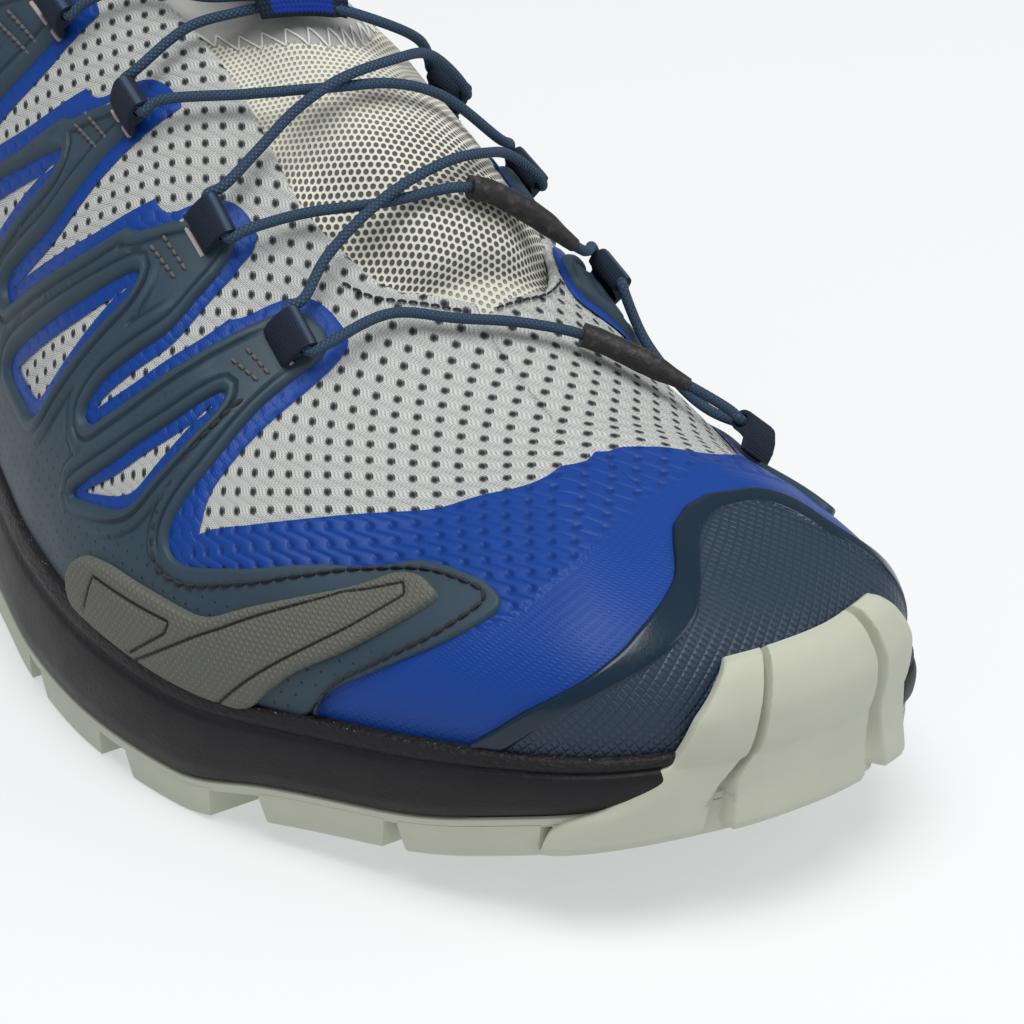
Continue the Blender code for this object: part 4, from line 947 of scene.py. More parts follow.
def guard_finish(looks):
    """Grey rubber with a fine dot relief, and painted shade in its grooves."""
    finish = Finish("guard_rubber", looks.guard_colour, 0.6)
    finish.shader.inputs["Specular IOR Level"].default_value = 0.35
    across, up = finish.places("wrapped")
    groove = finish.mark("groove")
    edge = finish.mark("edge")
    x, y = staggered(across, up, 1.2, 0.8)
    dots = round_distance(x, y).fade(0.15, 0.42) * -1.0 + 1.0
    finish.relief(dots * edge.fade(0.6, 1.0) * 0.20, 0.95)
    finish.tint(dots.fade(0.0, 0.8) * 0.35, looks.guard_light)
    # painted shade in the sunk grooves between the panels
    finish.tint(groove.fade(0.10, 0.42) * -1.0 + 1.0, GUARD_GROOVE_SHADE)
    return finish.material


def foam_finish(looks):
    """Black moulded foam: faint wrinkles, most under the upper's edge, and specks of glue there."""
    finish = Finish("black_foam", looks.foam_colour, 0.5)
    finish.shader.inputs["Specular IOR Level"].default_value = 0.25
    level = finish.mark("level")
    band = level.fade(0.70, 0.80)
    wrinkles = finish.noise(1.4, 4.0, (1.0, 1.0, 2.2))
    finish.relief(wrinkles * (band * 0.5 + 0.12), 0.8)
    finish.relief(finish.noise(0.4, 2.0) * 0.04, 0.7)
    specks = finish.noise(0.5, 1.0).fade(0.70, 0.76) * level.fade(0.975, 0.99)
    finish.tint(finish.noise(30.0, 2.0).fade(0.3, 0.8) * 0.5, looks.foam_light)
    finish.tint(specks * 0.5, GLUE_SPECK)
    finish.roughen(finish.noise(7.0, 3.0), 0.42, 0.62)
    return finish.material


def rubber_finish(looks):
    """Sage rubber, matt, with faint mould marks."""
    finish = Finish("sage_rubber", looks.rubber_colour, 0.62)
    finish.relief(finish.noise(0.9, 4.0) * 0.04, 0.5)
    finish.relief(finish.noise(6.0, 2.0) * 0.12, 0.3)
    finish.tint(finish.noise(14.0, 3.0).fade(0.35, 0.8) * 0.5, looks.rubber_light)
    finish.roughen(finish.noise(5.0, 2.0), 0.55, 0.68)
    return finish.material


def lace_finish(looks):
    """Braided cord with paler flecks where its threads cross."""
    finish = Finish("lace_braid", looks.lace_colour, 0.8)
    finish.shader.inputs["Specular IOR Level"].default_value = 0.2
    along, round_it = finish.places("strip")
    braid = diamonds(along, round_it, 0.9, 0.94)
    x, y = staggered(along, round_it, 0.9, 0.47)
    fleck = round_distance(x, y).fade(0.06, 0.20) * -1.0 + 1.0
    finish.relief(braid * 0.12, 0.9)
    finish.tint((braid.fade(0.0, 0.4) * -1.0 + 1.0) * 0.6, looks.lace_shadow)
    finish.tint(fleck * 0.4, looks.lace_fleck)
    return finish.material


def webbing_finish(name, colour, fleck, ribs=0.55):
    """Woven strap: ribs across it, fine threads along it, and a painted highlight along its fold."""
    finish = Finish(name, colour, 0.85)
    finish.shader.inputs["Specular IOR Level"].default_value = 0.2
    across, along = finish.places("strip")
    rows = (along / ribs).wave() * 0.5 + 0.5
    threads = ((across + (along / (2 * ribs)).wave() * 0.08) / 0.42).wave() * 0.5 + 0.5
    finish.relief(rows * threads * 0.14, 0.95)
    finish.tint(rows * threads * 0.55, fleck)
    fold_highlight = finish.mark("fold_highlight")
    # painted highlight along the fold's crest
    finish.tint(fold_highlight * (threads * 0.5 + 0.4), tuple(part * 2.6 for part in fleck))
    return finish.material


def cloth_finish(name, colour, thread=0.5):
    """Plain woven cloth."""
    finish = Finish(name, colour, 0.9)
    weave = finish.noise(thread, 3.0)
    finish.relief(weave * 0.08, 0.7)
    finish.tint(weave * 0.3, tuple(min(1.0, part * 1.6 + 0.01) for part in colour))
    return finish.material


def sleeve_finish(looks):
    """Dark crinkled tube of coated cloth, with a painted sheen on the crinkles' crests."""
    finish = Finish("lace_sleeve", looks.sleeve_colour, 0.55)
    finish.relief(finish.noise(1.8, 3.0) * 0.5, 0.8)
    finish.relief(finish.noise(0.5, 2.0) * 0.1, 0.8)
    # painted sheen: paler where the crinkles' relief stands highest
    finish.tint(finish.noise(1.8, 3.0).fade(0.5, 0.75) * 0.5, SLEEVE_CREST_SHEEN)
    return finish.material


def new_piece(name, points, faces, material, replaces=(), places=None, marks=None, sharp=None):
    """A mesh piece that rides on the shoe. Places are pattern layers in millimetres and marks are shares."""
    mesh = bpy.data.meshes.new(name)
    mesh.from_pydata((np.asarray(points) + ORIGIN).tolist(), [], faces)
    mesh.materials.append(material)
    corners = np.empty(len(mesh.loops), np.int32)
    mesh.loops.foreach_get("vertex_index", corners)
    for layer, values in (places or {}).items():
        made = mesh.uv_layers.new(name=layer)
        made.data.foreach_set("uv", np.asarray(values, np.float32)[corners].ravel())
    for mark, values in (marks or {}).items():
        made = mesh.attributes.new(mark, "FLOAT", "POINT")
        made.data.foreach_set("value", np.asarray(values, np.float32))
    mesh.shade_smooth()
    if sharp:
        mesh.set_sharp_from_angle(angle=math.radians(sharp))
    piece = bpy.data.objects.new(name, mesh)
    bpy.context.scene.collection.objects.link(piece)
    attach(piece, "root")
    if replaces:
        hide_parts(*replaces)
    return piece


def grid_faces(rows, columns, closed=False):
    """Faces of a grid of points listed row by row, which may be closed along its rows."""
    last = columns if closed else columns - 1
    i, j = np.meshgrid(np.arange(rows - 1), np.arange(last), indexing="ij")
    k = (j + 1) % columns
    quads = np.stack([i * columns + j, i * columns + k, (i + 1) * columns + k, (i + 1) * columns + j], -1)
    return quads.reshape(-1, 4).tolist()


def cap_faces(first, count, up):
    """A cap across a ring that starts at the heel, as rungs from one side to the other."""
    faces = []
    for i in range(count // 2):
        corners = [first + i, first + i + 1, first + (count - i - 1) % count, first + (count - i) % count]
        corners = list(dict.fromkeys(corners))
        faces.append(corners if up else corners[::-1])
    return faces


class Batch:
    """Points, faces and pattern places of small shapes that go into one mesh."""

    def __init__(self):
        self.points = []
        self.faces = []
        self.places = []
        self.count = 0

    def add(self, points, faces, places=None):
        points = np.asarray(points).reshape(-1, 3)
        self.faces += [[self.count + corner for corner in face] for face in faces]
        self.points.append(points)
        self.places.append(np.zeros((len(points), 2)) if places is None else places.reshape(-1, 2))
        self.count += len(points)

    def piece(self, name, material, slot, replaces=(), sharp=None, marks=None):
        places = {"strip": np.concatenate(self.places)}
        points = np.concatenate(self.points)
        return new_piece(name, points, self.faces, material, replaces, places, marks, sharp)


def tube_rings(path, radius, sides):
    """Rings of points round a path, with no twist, as (points, sides, 3)."""
    path = np.asarray(path)
    radius = np.broadcast_to(radius, len(path))
    tangent = unit(np.gradient(path, axis=0))
    normal = unit(np.cross(tangent[0], (0.3, 0.2, 1.0)))
    rings = []
    for place, ahead, size in zip(path, tangent, radius):
        normal = unit(normal - ahead * normal.dot(ahead))
        side = np.cross(ahead, normal)
        turn = np.arange(sides) * 2 * math.pi / sides
        rings.append(place + size * (np.cos(turn)[:, None] * normal + np.sin(turn)[:, None] * side))
    return np.array(rings)


def add_tube(batch, path, radius, sides):
    """A tube with closed ends."""
    rings = tube_rings(path, radius, sides)
    rings = np.concatenate([rings, rings[:, :1]], 1)
    lengths = np.concatenate([[0.0], np.linalg.norm(np.diff(path, axis=0), axis=1).cumsum()]) / MM
    turns = np.arange(sides + 1) / sides * 2 * math.pi * np.max(radius) / MM
    places = np.stack(np.broadcast_arrays(lengths[:, None], turns[None, :]), -1)
    faces = grid_faces(len(rings), sides + 1)
    last = (len(rings) - 1) * (sides + 1)
    faces.append(list(range(sides))[::-1])
    faces.append([last + i for i in range(sides)])
    batch.add(rings, [face[::-1] for face in faces], places)


def path_lengths(path):
    return np.concatenate([[0.0], np.linalg.norm(np.diff(path, axis=0), axis=1).cumsum()])


def evenly(path, step):
    """The same path with points an even step apart."""
    lengths = path_lengths(path)
    goals = np.linspace(0, lengths[-1], max(2, round(lengths[-1] / step) + 1))
    return np.stack([np.interp(goals, lengths, path[:, k]) for k in range(path.shape[1])], -1)


def part_of(path, start, end):
    """The stretch of a path between two lengths along it."""
    lengths = path_lengths(path)
    goals = np.linspace(start, end, max(3, round((end - start) / 0.0004)))
    return np.stack([np.interp(goals, lengths, path[:, k]) for k in range(path.shape[1])], -1)


def smooth_places(places, steps=12):
    """An open smooth curve through a few places."""
    points = np.asarray(places, float)
    ends = np.concatenate([[2 * points[0] - points[1]], points, [2 * points[-1] - points[-2]]])
    where = np.linspace(1, len(points), (len(points) - 1) * steps + 1)
    return curve_through(ends, np.minimum(where, len(points) - 1e-6))


def add_stitches(batch, places, kind, straight=False):
    """A row of stitches along a line on the skin. Each dips in at both ends."""
    line = np.asarray(places, float) if straight else smooth_places(places)
    line = evenly(line * PLAN, 0.0005) / PLAN
    path = skin(line[:, 0], line[:, 1], np.broadcast_to(kind.out, len(line)))
    normal = unit(read_samples(SKIN_NORMAL, line[:, 0], line[:, 1]))
    lengths = path_lengths(path)
    start = kind.space / 2
    while start + kind.stitch < lengths[-1]:
        goals = np.linspace(start, start + kind.stitch, 6)
        points = np.stack([np.interp(goals, lengths, path[:, k]) for k in range(3)], -1)
        lift = np.stack([np.interp(goals, lengths, normal[:, k]) for k in range(3)], -1)
        rise = np.sin(np.linspace(0, math.pi, 6)) * kind.radius * 1.6 - kind.radius * 0.9
        add_tube(batch, points + lift * rise[:, None], kind.radius, 6)
        start += kind.stitch + kind.space


def rounded(places, radius, sides=5):
    """A closed outline in metres of the plan with its corners rounded."""
    corners = np.asarray(places, float) * PLAN
    outline = []
    for before, corner, after in zip(np.roll(corners, 1, 0), corners, np.roll(corners, -1, 0)):
        back = before - corner
        on = after - corner
        start = corner + back * min(0.45, radius / max(np.linalg.norm(back), 1e-9))
        end = corner + on * min(0.45, radius / max(np.linalg.norm(on), 1e-9))
        for t in np.linspace(0, 1, sides):
            outline.append((1 - t) ** 2 * start + 2 * t * (1 - t) * corner + t ** 2 * end)
    return np.array(outline)


def inset(places, distance):
    """A closed outline moved in by a distance, in station and climb."""
    corners = np.asarray(places, float) * PLAN
    area = np.sum(corners[:, 0] * np.roll(corners[:, 1], -1) - np.roll(corners[:, 0], -1) * corners[:, 1])
    before = unit(corners - np.roll(corners, 1, 0))
    after = unit(np.roll(corners, -1, 0) - corners)
    left = np.stack([-(before + after)[:, 1], (before + after)[:, 0]], -1)
    left = unit(left) * np.sign(area)
    share = np.sqrt(np.clip((1 + np.sum(before * after, 1)) / 2, 0.25, 1.0))
    return (corners + left * distance / share[:, None]) / PLAN


def subdivided(outline, longest, closed=True):
    points = []
    ends = np.roll(outline, -1, 0) if closed else outline[1:]
    for a, b in zip(outline, ends):
        pieces = max(1, math.ceil(np.linalg.norm(b - a) / longest))
        points += [a + (b - a) * i / pieces for i in range(pieces)]
    if not closed:
        points.append(outline[-1])
    return np.array(points)


def inside(points, outline):
    """Which of the points lie in a closed outline."""
    result = np.zeros(len(points), bool)
    for a, b in zip(outline, np.roll(outline, -1, 0)):
        if a[1] == b[1]:
            continue
        crosses = (a[1] > points[:, 1]) != (b[1] > points[:, 1])
        at = a[0] + (b[0] - a[0]) * (points[:, 1] - a[1]) / (b[1] - a[1])
        result ^= crosses & (points[:, 0] < at)
    return result


def distance_to(points, lines, closed=True):
    """Each point's distance to the nearest of some outlines or lines."""
    nearest = np.full(len(points), 1.0)
    for line in lines:
        ends = np.roll(line, -1, 0) if closed else line[1:]
        for a, b in zip(line, ends):
            side = b - a
            span = max(side.dot(side), 1e-16)
            t = np.clip((points - a) @ side / span, 0, 1)
            away = points - a - t[:, None] * side
            nearest = np.minimum(nearest, np.sqrt((away * away).sum(1)))
    return nearest


def beside(line, distance, closed=True):
    """Points at a distance on both sides of a line."""
    if closed:
        tangent = unit(np.roll(line, -1, 0) - np.roll(line, 1, 0))
    else:
        tangent = unit(np.gradient(line, axis=0))
    side = np.stack([-tangent[:, 1], tangent[:, 0]], -1)
    return np.concatenate([line + side * distance, line - side * distance])


def sheet_plan(edge, holes, radius, rings, lattice, lines=()):
    """A flat mesh inside an edge and outside its holes, finer along them and along some lines."""
    outlines = [subdivided(rounded(places, radius), lattice) for places in (edge, *holes)]
    fixed = np.concatenate(outlines)
    links = []
    first = 0
    for outline in outlines:
        count = len(outline)
        links += [(first + i, first + (i + 1) % count) for i in range(count)]
        first += count
    low = outlines[0].min(0)
    high = outlines[0].max(0)
    extra = []
    for distance in rings:
        near = np.concatenate([beside(outline, distance) for outline in outlines])
        extra.append(near[distance_to(near, outlines) > 0.93 * distance])
    for line in lines:
        extra += [line, beside(line, 0.00025, closed=False), beside(line, 0.0006, closed=False)]
    xs = np.arange(low[0], high[0], lattice)
    ys = np.arange(low[1], high[1], lattice * 0.866)
    gx, gy = np.meshgrid(xs, ys)
    gx[1::2] += lattice / 2
    even = np.stack([gx.ravel(), gy.ravel()], -1)
    far = distance_to(even, outlines) > (rings[-1] if rings else 0.0) + lattice * 0.4
    if lines:
        far &= distance_to(even, lines, closed=False) > 0.0009
    extra.append(even[far])
    extra = np.concatenate(extra)
    keep = inside(extra, outlines[0])
    for hole in outlines[1:]:
        keep &= ~inside(extra, hole)
    points = np.concatenate([fixed, extra[keep]])
    flat, _, faces, _, _, _ = delaunay_2d_cdt([Vector(p) for p in points], links, [], 0, 1e-7)
    flat = np.array([tuple(p) for p in flat])
    faces = np.array([tuple(face) for face in faces])
    middle = flat[faces].mean(1)
    good = inside(middle, outlines[0])
    for hole in outlines[1:]:
        good &= ~inside(middle, hole)
    faces = faces[good]
    used, order = np.unique(faces, return_inverse=True)
    return flat[used], order.reshape(-1, 3), outlines


def as_drawn(places):
    """The outline on the outer side."""
    return places


def mirrored(places):
    """The same outline on the inner side, where the fingers end lower."""
    flipped = []
    for station, climb in places:
        drop = FINGER_DROP * float(ease(climb, *FINGER_CLIMBS))
        flipped.append((AROUND - station, climb - drop))
    return tuple(flipped[::-1])


def round_edge(distance, width):
    """How high an edge has risen at a distance from it, from 0 to 1, as a quarter round."""
    t = np.clip(distance / width, 0, 1)
    return np.sqrt(1 - (1 - t) ** 2)


def add_sheet(name, plan, height, material, replaces=(), marks=None):
    """A moulded sheet over the skin at given heights."""
    flat, faces, _ = plan
    station, climb = (flat / PLAN).T
    points = skin(station, climb, height)
    places = {"draped": draped(points), "wrapped": wrapped(station, climb)}
    return new_piece(name, points, faces.tolist(), material, replaces, places, marks)


def collar_padding(station, share):
    behind = 1 - ease(row_of(station), *PADDED_ROWS)
    low, high, lip = PADDED_CLIMB
    return behind * ease(share, low, high) * (1 - ease(share, lip, 1.0) / 2)


def make_upper(looks):
    """The knitted wall: outer face, rolled edge and inner face."""
    stations = np.arange(0, AROUND, 0.1)
    outer = np.linspace(0, 1, 76)
    rows = []
    for share in outer:
        rows.append(skin(stations, share * top_climb(stations)))
    top = top_climb(stations)
    thick_top = WALL + COLLAR_PAD * collar_padding(stations, 1.0)
    for turn in np.linspace(0, math.pi, 6)[1:-1]:
        rise = np.sin(turn) * np.minimum(thick_top / 2, 0.0015) / PLAN[1]
        rows.append(skin(stations, np.minimum(top + rise, 1.0), -thick_top * (1 - math.cos(turn)) / 2))
    for share in np.linspace(1, 0, 31):
        thick = WALL + COLLAR_PAD * collar_padding(stations, share)
        rows.append(skin(stations, share * top, -thick))
    points = np.concatenate(rows)
    faces = grid_faces(len(rows), len(stations), closed=True)
    places = {"draped": draped(points)}
    piece = new_piece("knit_upper", points, faces, knit_finish(looks), ("upper",), places)
    piece.data.materials.append(cloth_finish("lining_cloth", LINING))
    inner_from = (len(outer) + 2) * len(stations)
    materials = np.zeros(len(faces), np.int32)
    materials[inner_from:] = 1
    piece.data.polygons.foreach_set("material_index", materials)


def make_films(looks):
    """The toe film, and the film that borders the cage's fingers and windows on each side."""
    material = film_finish(looks)
    weld = smooth_places(WELD_LINE) * PLAN
    plan = sheet_plan(FILM_EDGE, (), radius=0.006, rings=(0.0004, 0.0012), lattice=0.0014)
    flat = plan[0]
    edge = distance_to(flat, plan[2])
    station, climb = (flat / PLAN).T
    weld_climb = np.interp(station, weld[:, 0] / PLAN[0], weld[:, 1] / PLAN[1])
    above = (climb - weld_climb) * PLAN[1]
    ridge = bump(above / 0.0012) * WELD_RIDGE
    height = FILM_FOOT + TOE_FILM_RISE * round_edge(edge, 0.0006) + ridge
    add_sheet("toe_film", plan, height, material, (), {"knit": ease(above, -0.001, 0.001)})
    holes = [inset(hole, BORDER_REACH) for hole in CAGE_GAPS + CAGE_WINDOWS]
    for side, name in ((as_drawn, "outer"), (mirrored, "inner")):
        side_holes = [side(tuple(map(tuple, hole))) for hole in holes]
        plan = sheet_plan(side(UNDERLAY_EDGE), side_holes, 0.003, (0.0005,), 0.0022)
        height = FILM_FOOT + BORDER_FILM_RISE * round_edge(distance_to(plan[0], plan[2]), 0.0005)
        marks = {"knit": np.full(len(plan[0]), 0.35)}
        add_sheet("border_film_" + name, plan, height, material, (), marks)


def roll_height(edge, roll):
    """How high a moulded roll stands at a distance from the edge."""
    return roll.high * bump((edge - roll.away) / roll.half)


def make_cages(looks):
    """The navy cages: moulded rolls follow their edges, the windows and the gaps between the fingers."""
    material = overlay_finish(looks)
    rings = (0.0003, 0.0007, 0.0011, 0.0016, 0.0021, 0.0026, 0.0031, 0.0037, 0.0043, 0.0050, 0.0058)
    for side, node in ((as_drawn, "lateral_cage"), (mirrored, "medial_cage")):
        holes = [side(hole) for hole in CAGE_GAPS + CAGE_WINDOWS]
        plan = sheet_plan(side(CAGE_EDGE), holes, 0.0026, rings, lattice=0.0013)
        flat, _, outlines = plan
        row = row_of(flat[:, 0] / PLAN[0])
        climb = flat[:, 1] / PLAN[1]
        edge = distance_to(flat, outlines)
        sides = ease(climb, 0.13, 0.24) * (1 - ease(row, 7.40, 7.55))
        rolled = sides * (1 - ease(climb, 0.61, 0.67))
        twice = sides * (1 - ease(climb, 0.51, 0.56))
        rolls = roll_height(edge, ROLLS[0]) * rolled + roll_height(edge, ROLLS[1]) * twice
        height = CAGE_FOOT + CAGE_RISE * round_edge(edge, 0.0008) + rolls
        low = (1 - ease(climb, 0.20, 0.28)) * ease(edge, 0.002, 0.003)
        marks = {"low": low, "window": edge / MM, "rolled": rolled, "twice": twice}
        add_sheet(node + "_film", plan, height, material, (node,), marks)


def make_toe_cap(looks):
    """The toe cap: a smooth raised border round a sunk field of scales."""
    border = smooth_places(CAP_BORDER) * PLAN
    lines = (evenly(border, 0.0012),)
    plan = sheet_plan(TOE_CAP_EDGE, (), 0.004, (0.0003, 0.0008, 0.0014), 0.0016, lines)
    flat = plan[0]
    edge = distance_to(flat, plan[2])
    loop = np.concatenate([border, [[border[-1][0], -0.01], [border[0][0], -0.01]]])
    away = distance_to(flat, [border], closed=False)
    inner = np.where(inside(flat, loop), 1.0, -1.0) * away
    height = CAP_FOOT + CAP_RISE * round_edge(edge, 0.0010) - CAP_SUNK * ease(inner, -0.0005, 0.0005)
    marks = {"inner": ease(inner, -0.0002, 0.0006)}
    add_sheet("toe_cap_film", plan, height, toe_cap_finish(looks), ("toe_cap",), marks)


def make_guard(looks):
    """The outer forefoot's guard with its grooved panels."""
    grooves = [evenly(np.asarray(line) * PLAN, 0.0008) for line in GUARD_GROOVES]
    plan = sheet_plan(LATERAL_GUARD_EDGE, (), 0.003, (0.0003, 0.0008, 0.0014), 0.0013, grooves)
    flat = plan[0]
    edge = distance_to(flat, plan[2])
    groove = distance_to(flat, grooves, closed=False)
    height = GUARD_FOOT + GUARD_RISE * round_edge(edge, 0.0012) - GUARD_GROOVE * bump(groove / 0.0005)
    marks = {"groove": groove / MM, "edge": edge / MM}
    add_sheet("guard_sheet", plan, height, guard_finish(looks), ("lateral_guard",), marks)


def make_counter():
    """The plain overlay round the heel, in the cage's film."""
    plan = sheet_plan(COUNTER_EDGE, (), radius=0.005, rings=(0.0003, 0.0008, 0.0015), lattice=0.003)
    edge = distance_to(plan[0], plan[2])
    height = CAP_FOOT + COUNTER_RISE * round_edge(edge, 0.0012) - CAP_SUNK * bump((edge - 0.005) / 0.001)
    none = np.zeros(len(plan[0]))
    marks = {"low": none, "window": none, "rolled": none, "twice": none}
    material = bpy.data.materials["navy_film"]
    add_sheet("counter_film", plan, height, material, ("heel_counter",), marks)


def inner_rows(drop):
    """A short row below each loop on the inner side."""
    rows = []
    for loop in LOOPS:
        if loop.station > TOE and loop.turn == 0:
            climb = loop.climb - drop
            rows.append(((loop.station + HALF_ROW, climb), (loop.station - HALF_ROW, climb + ROW_RISE)))
    return tuple(rows)


def make_border_stitches():
    """The rows along the outer cage's front border, behind the slots and at the throat's end."""
    dark = Batch()
    pale = Batch()
    add_stitches(dark, BORDER_STITCHES, BORDER_THREAD)
    for row in THROAT_SEAM:
        add_stitches(dark, row, SEAM_THREAD)
    near, far = (inner_rows(drop) for drop in INNER_STITCH_DROPS)
    for row in STITCH_BOXES + near + far:
        add_stitches(pale, row, SLOT_THREAD, straight=True)
    dark.piece("border_stitches", cloth_finish("dark_thread", DARK_THREAD, 0.2), "webbing")
    pale.piece("slot_stitches", cloth_finish("grey_thread", GREY_THREAD, 0.2), "webbing")


def make_slots():
    """The slots that the lace loops come out of: a pale cut edge round a dark tube that stands for the painted
    shade in the gap.
    """
    edge = Batch()
    gap_shadow_tubes = Batch()
    for start, end in SLOTS + inner_rows(INNER_SLOT_DROP):
        line = np.linspace(start, end, 16)
        path = skin(line[:, 0], line[:, 1], np.full(16, 0.0013))
        add_tube(edge, path, 0.00045, 8)
        # a near black tube laid in the slot's opening: painted shade
        path = skin(line[:, 0], line[:, 1] + 0.011, np.full(16, 0.0012))
        add_tube(gap_shadow_tubes, path, 0.0006, 8)
    edge.piece("slot_edges", cloth_finish("cut_edge", SLOT_EDGE, 0.4), "webbing")
    gap_shadow_tubes.piece("slot_gap_shadows", cloth_finish("slot_gap_shade", SLOT_SHADE, 0.4), "webbing")


def tongue_lift(spine, across):
    """Height of the tongue's face over the skin. It is fuller on the inner side."""
    station = station_of_spine(spine)
    outer = np.abs(across) / np.maximum(1 - top_climb(station), GAP)
    inner = np.abs(across) / np.maximum(1 - top_climb(AROUND - station), GAP)
    full = TONGUE_FULL * (ease(inner, 0.45, 0.9) - ease(inner, 1.0, 1.12)) * ease(0.70 - spine, 0.0, 0.03)
    rise = np.where(across < 0, 1 - ease(outer, *TONGUE_RISE), 1 - ease(inner, *TONGUE_INNER_RISE))
    return tongue_rise(spine) * rise - WALL - TONGUE_CLEAR + np.where(across < 0, 0.0, full)


def make_tongue(looks):
    """The tongue: cream mesh, padded towards its top."""
    spines = np.linspace(TONGUE[0].spine, TONGUE[-1].spine, 190)
    shares = np.linspace(-1, 1, 91)
    spine, share = np.meshgrid(spines, shares, indexing="ij")
    across = share * (1 + TONGUE_INNER_REACH * np.maximum(share, 0.0)) * tongue_half(spine)
    lift = tongue_lift(spine, across)
    station, climb = top_place(spine, across)
    front = skin(station, climb, lift)
    back = skin(station, climb, lift - tongue_thick(spine) * (1 - TONGUE_THIN * share * share))
    rows, columns = front.shape[:2]
    middle = columns // 2
    pitch = (TONGUE_MESH[0] + TONGUE_MESH[1] * ease(spines, 0.60, 0.66)) * MM
    down = (np.gradient(path_lengths(front[:, middle])) / pitch).cumsum()
    side = np.linalg.norm(np.diff(front, axis=1), axis=-1).cumsum(1)
    side = np.concatenate([np.zeros((rows, 1)), side], 1)
    side = (side - side[:, middle:middle + 1]) / pitch[:, None]
    places = np.stack([np.broadcast_to(down[:, None], side.shape), side], -1).reshape(-1, 2)
    points, faces = grid_shell(front, back)
    dome = ease(spine, 0.600, 0.645) * (1 - ease(spine, 0.700, 0.706))
    dome = np.concatenate([dome.ravel(), dome.ravel()])
    piece = new_piece(
        "tongue_mesh", points, faces, tongue_finish(looks), ("tongue",),
        {"draped": np.concatenate([places, places])}, {"dome": dome},
    )
    piece.data.materials.append(cloth_finish("pad_cloth", looks.pad_colour))
    over = np.full(len(faces), 1.0)
    over[:(rows - 1) * (columns - 1)] = (spine[:-1, :-1] - pad_edge(across[:-1, :-1])).ravel()
    piece.data.polygons.foreach_set("material_index", (over < 0).astype(np.int32))


def grid_rim(rows, columns):
    """The points round a grid's edge, in order."""
    rim = list(range(columns)) + [i * columns + columns - 1 for i in range(1, rows)]
    rim += [(rows - 1) * columns + j for j in range(columns - 2, -1, -1)]
    return rim + [i * columns for i in range(rows - 2, 0, -1)]


def grid_shell(front, back):
    """Points and faces of a closed sheet between two grids of points."""
    rows, columns = front.shape[:2]
    count = rows * columns
    points = np.concatenate([front.reshape(-1, 3), back.reshape(-1, 3)])
    faces = grid_faces(rows, columns)
    faces += [[count + corner for corner in face[::-1]] for face in faces]
    rim = grid_rim(rows, columns)
    faces += [[b, a, a + count, b + count] for a, b in zip(rim, rim[1:] + rim[:1])]
    return points, faces


def pad_edge(across):
    """Where the grey pad starts on the tongue, as a share of the shoe's length."""
    return 0.587 + 0.05 * across - 1.1 * (across - 0.01) ** 2


def make_zigzag():
    """The white zigzag that holds the pad's edge."""
    thread = Batch()
    across = np.linspace(-0.22, 0.18, 27)
    spine = pad_edge(across) + np.where(np.arange(27) % 2, 0.0005, -0.0115)
    for k in range(26):
        ends = np.linspace(0, 1, 8)
        s = spine[k] + (spine[k + 1] - spine[k]) * ends
        a = across[k] + (across[k + 1] - across[k]) * ends
        station, climb = top_place(s, a)
        add_tube(thread, skin(station, climb, tongue_lift(s, a) + 0.0002), 0.0002, 6)
    thread.piece("pad_zigzag", cloth_finish("white_thread", WHITE_THREAD, 0.2), "cream_mesh")


def make_keeper(looks):
    """The strap on the tongue: royal blue with navy edges."""
    path = evenly(smooth_places(KEEPER), 0.0012)
    shares = np.linspace(-0.5, 0.5, 21)
    spine = path[:, :1] + shares * KEEPER_LEAN + KEEPER_SHIFT
    across = KEEPER_ACROSS + shares[None, :] * KEEPER_WIDTH / PLAN[1] + path[:, :1] * 0
    out = path[:, 1:] + shares * 0
    station, climb = top_place(spine, across)
    front = skin(station, climb, out + KEEPER_THICK)
    back = skin(station, climb, out)
    rows, columns = front.shape[:2]
    points, faces = grid_shell(front, back)
    along = np.broadcast_to(np.arange(rows)[:, None] * 0.4, (rows, columns))
    wide = np.broadcast_to(shares * KEEPER_WIDTH / MM, (rows, columns))
    strip = np.stack([wide, along], -1).reshape(-1, 2)
    finish = webbing_finish("keeper_web", looks.keeper_colour, looks.film_colour)
    piece = new_piece(
        "keeper_strap", points, faces, finish, ("tongue_keeper",),
        {"strip": np.concatenate([strip, strip])},
    )
    piece.data.materials.append(webbing_finish("keeper_edge", looks.loop_colour, looks.loop_fleck))
    middles = (shares[:-1] + shares[1:]) / 2
    edge_columns = (np.abs(middles) > KEEPER_EDGE).astype(np.int32)
    materials = np.ones(len(faces), np.int32)
    materials[:(rows - 1) * (columns - 1)] = np.tile(edge_columns, rows - 1)
    piece.data.polygons.foreach_set("material_index", materials)


def loop_frame(loop):
    """A loop's place, the way it points, its outward normal and the lace's way through it."""
    place, run, up, normal = skin_axes(loop.station, loop.climb)
    turn = math.radians(loop.turn)
    points = up * math.cos(turn) + run * math.sin(turn)
    return place, points, normal, np.cross(points, normal)


def loop_section():
    """The strap's closed outline round the lace's eye, with the tail that goes into its slot."""
    hump = STRAP + EYE
    angles = np.radians(np.linspace(-60, 125, 22))
    outer = [(math.cos(a) * hump, hump + math.sin(a) * hump) for a in angles]
    outer += [(-1.35 * hump, 1.15 * hump), (-1.9 * hump, 0.35 * hump), (-2.2 * hump, -0.6 * hump)]
    outer += [(-1.9 * hump, -0.8 * hump), (-1.35 * hump, 0.0), (-0.6 * hump, 0.1 * hump)]
    outer += [(0.25 * hump, 0.05 * hump)]
    return np.array(outer)


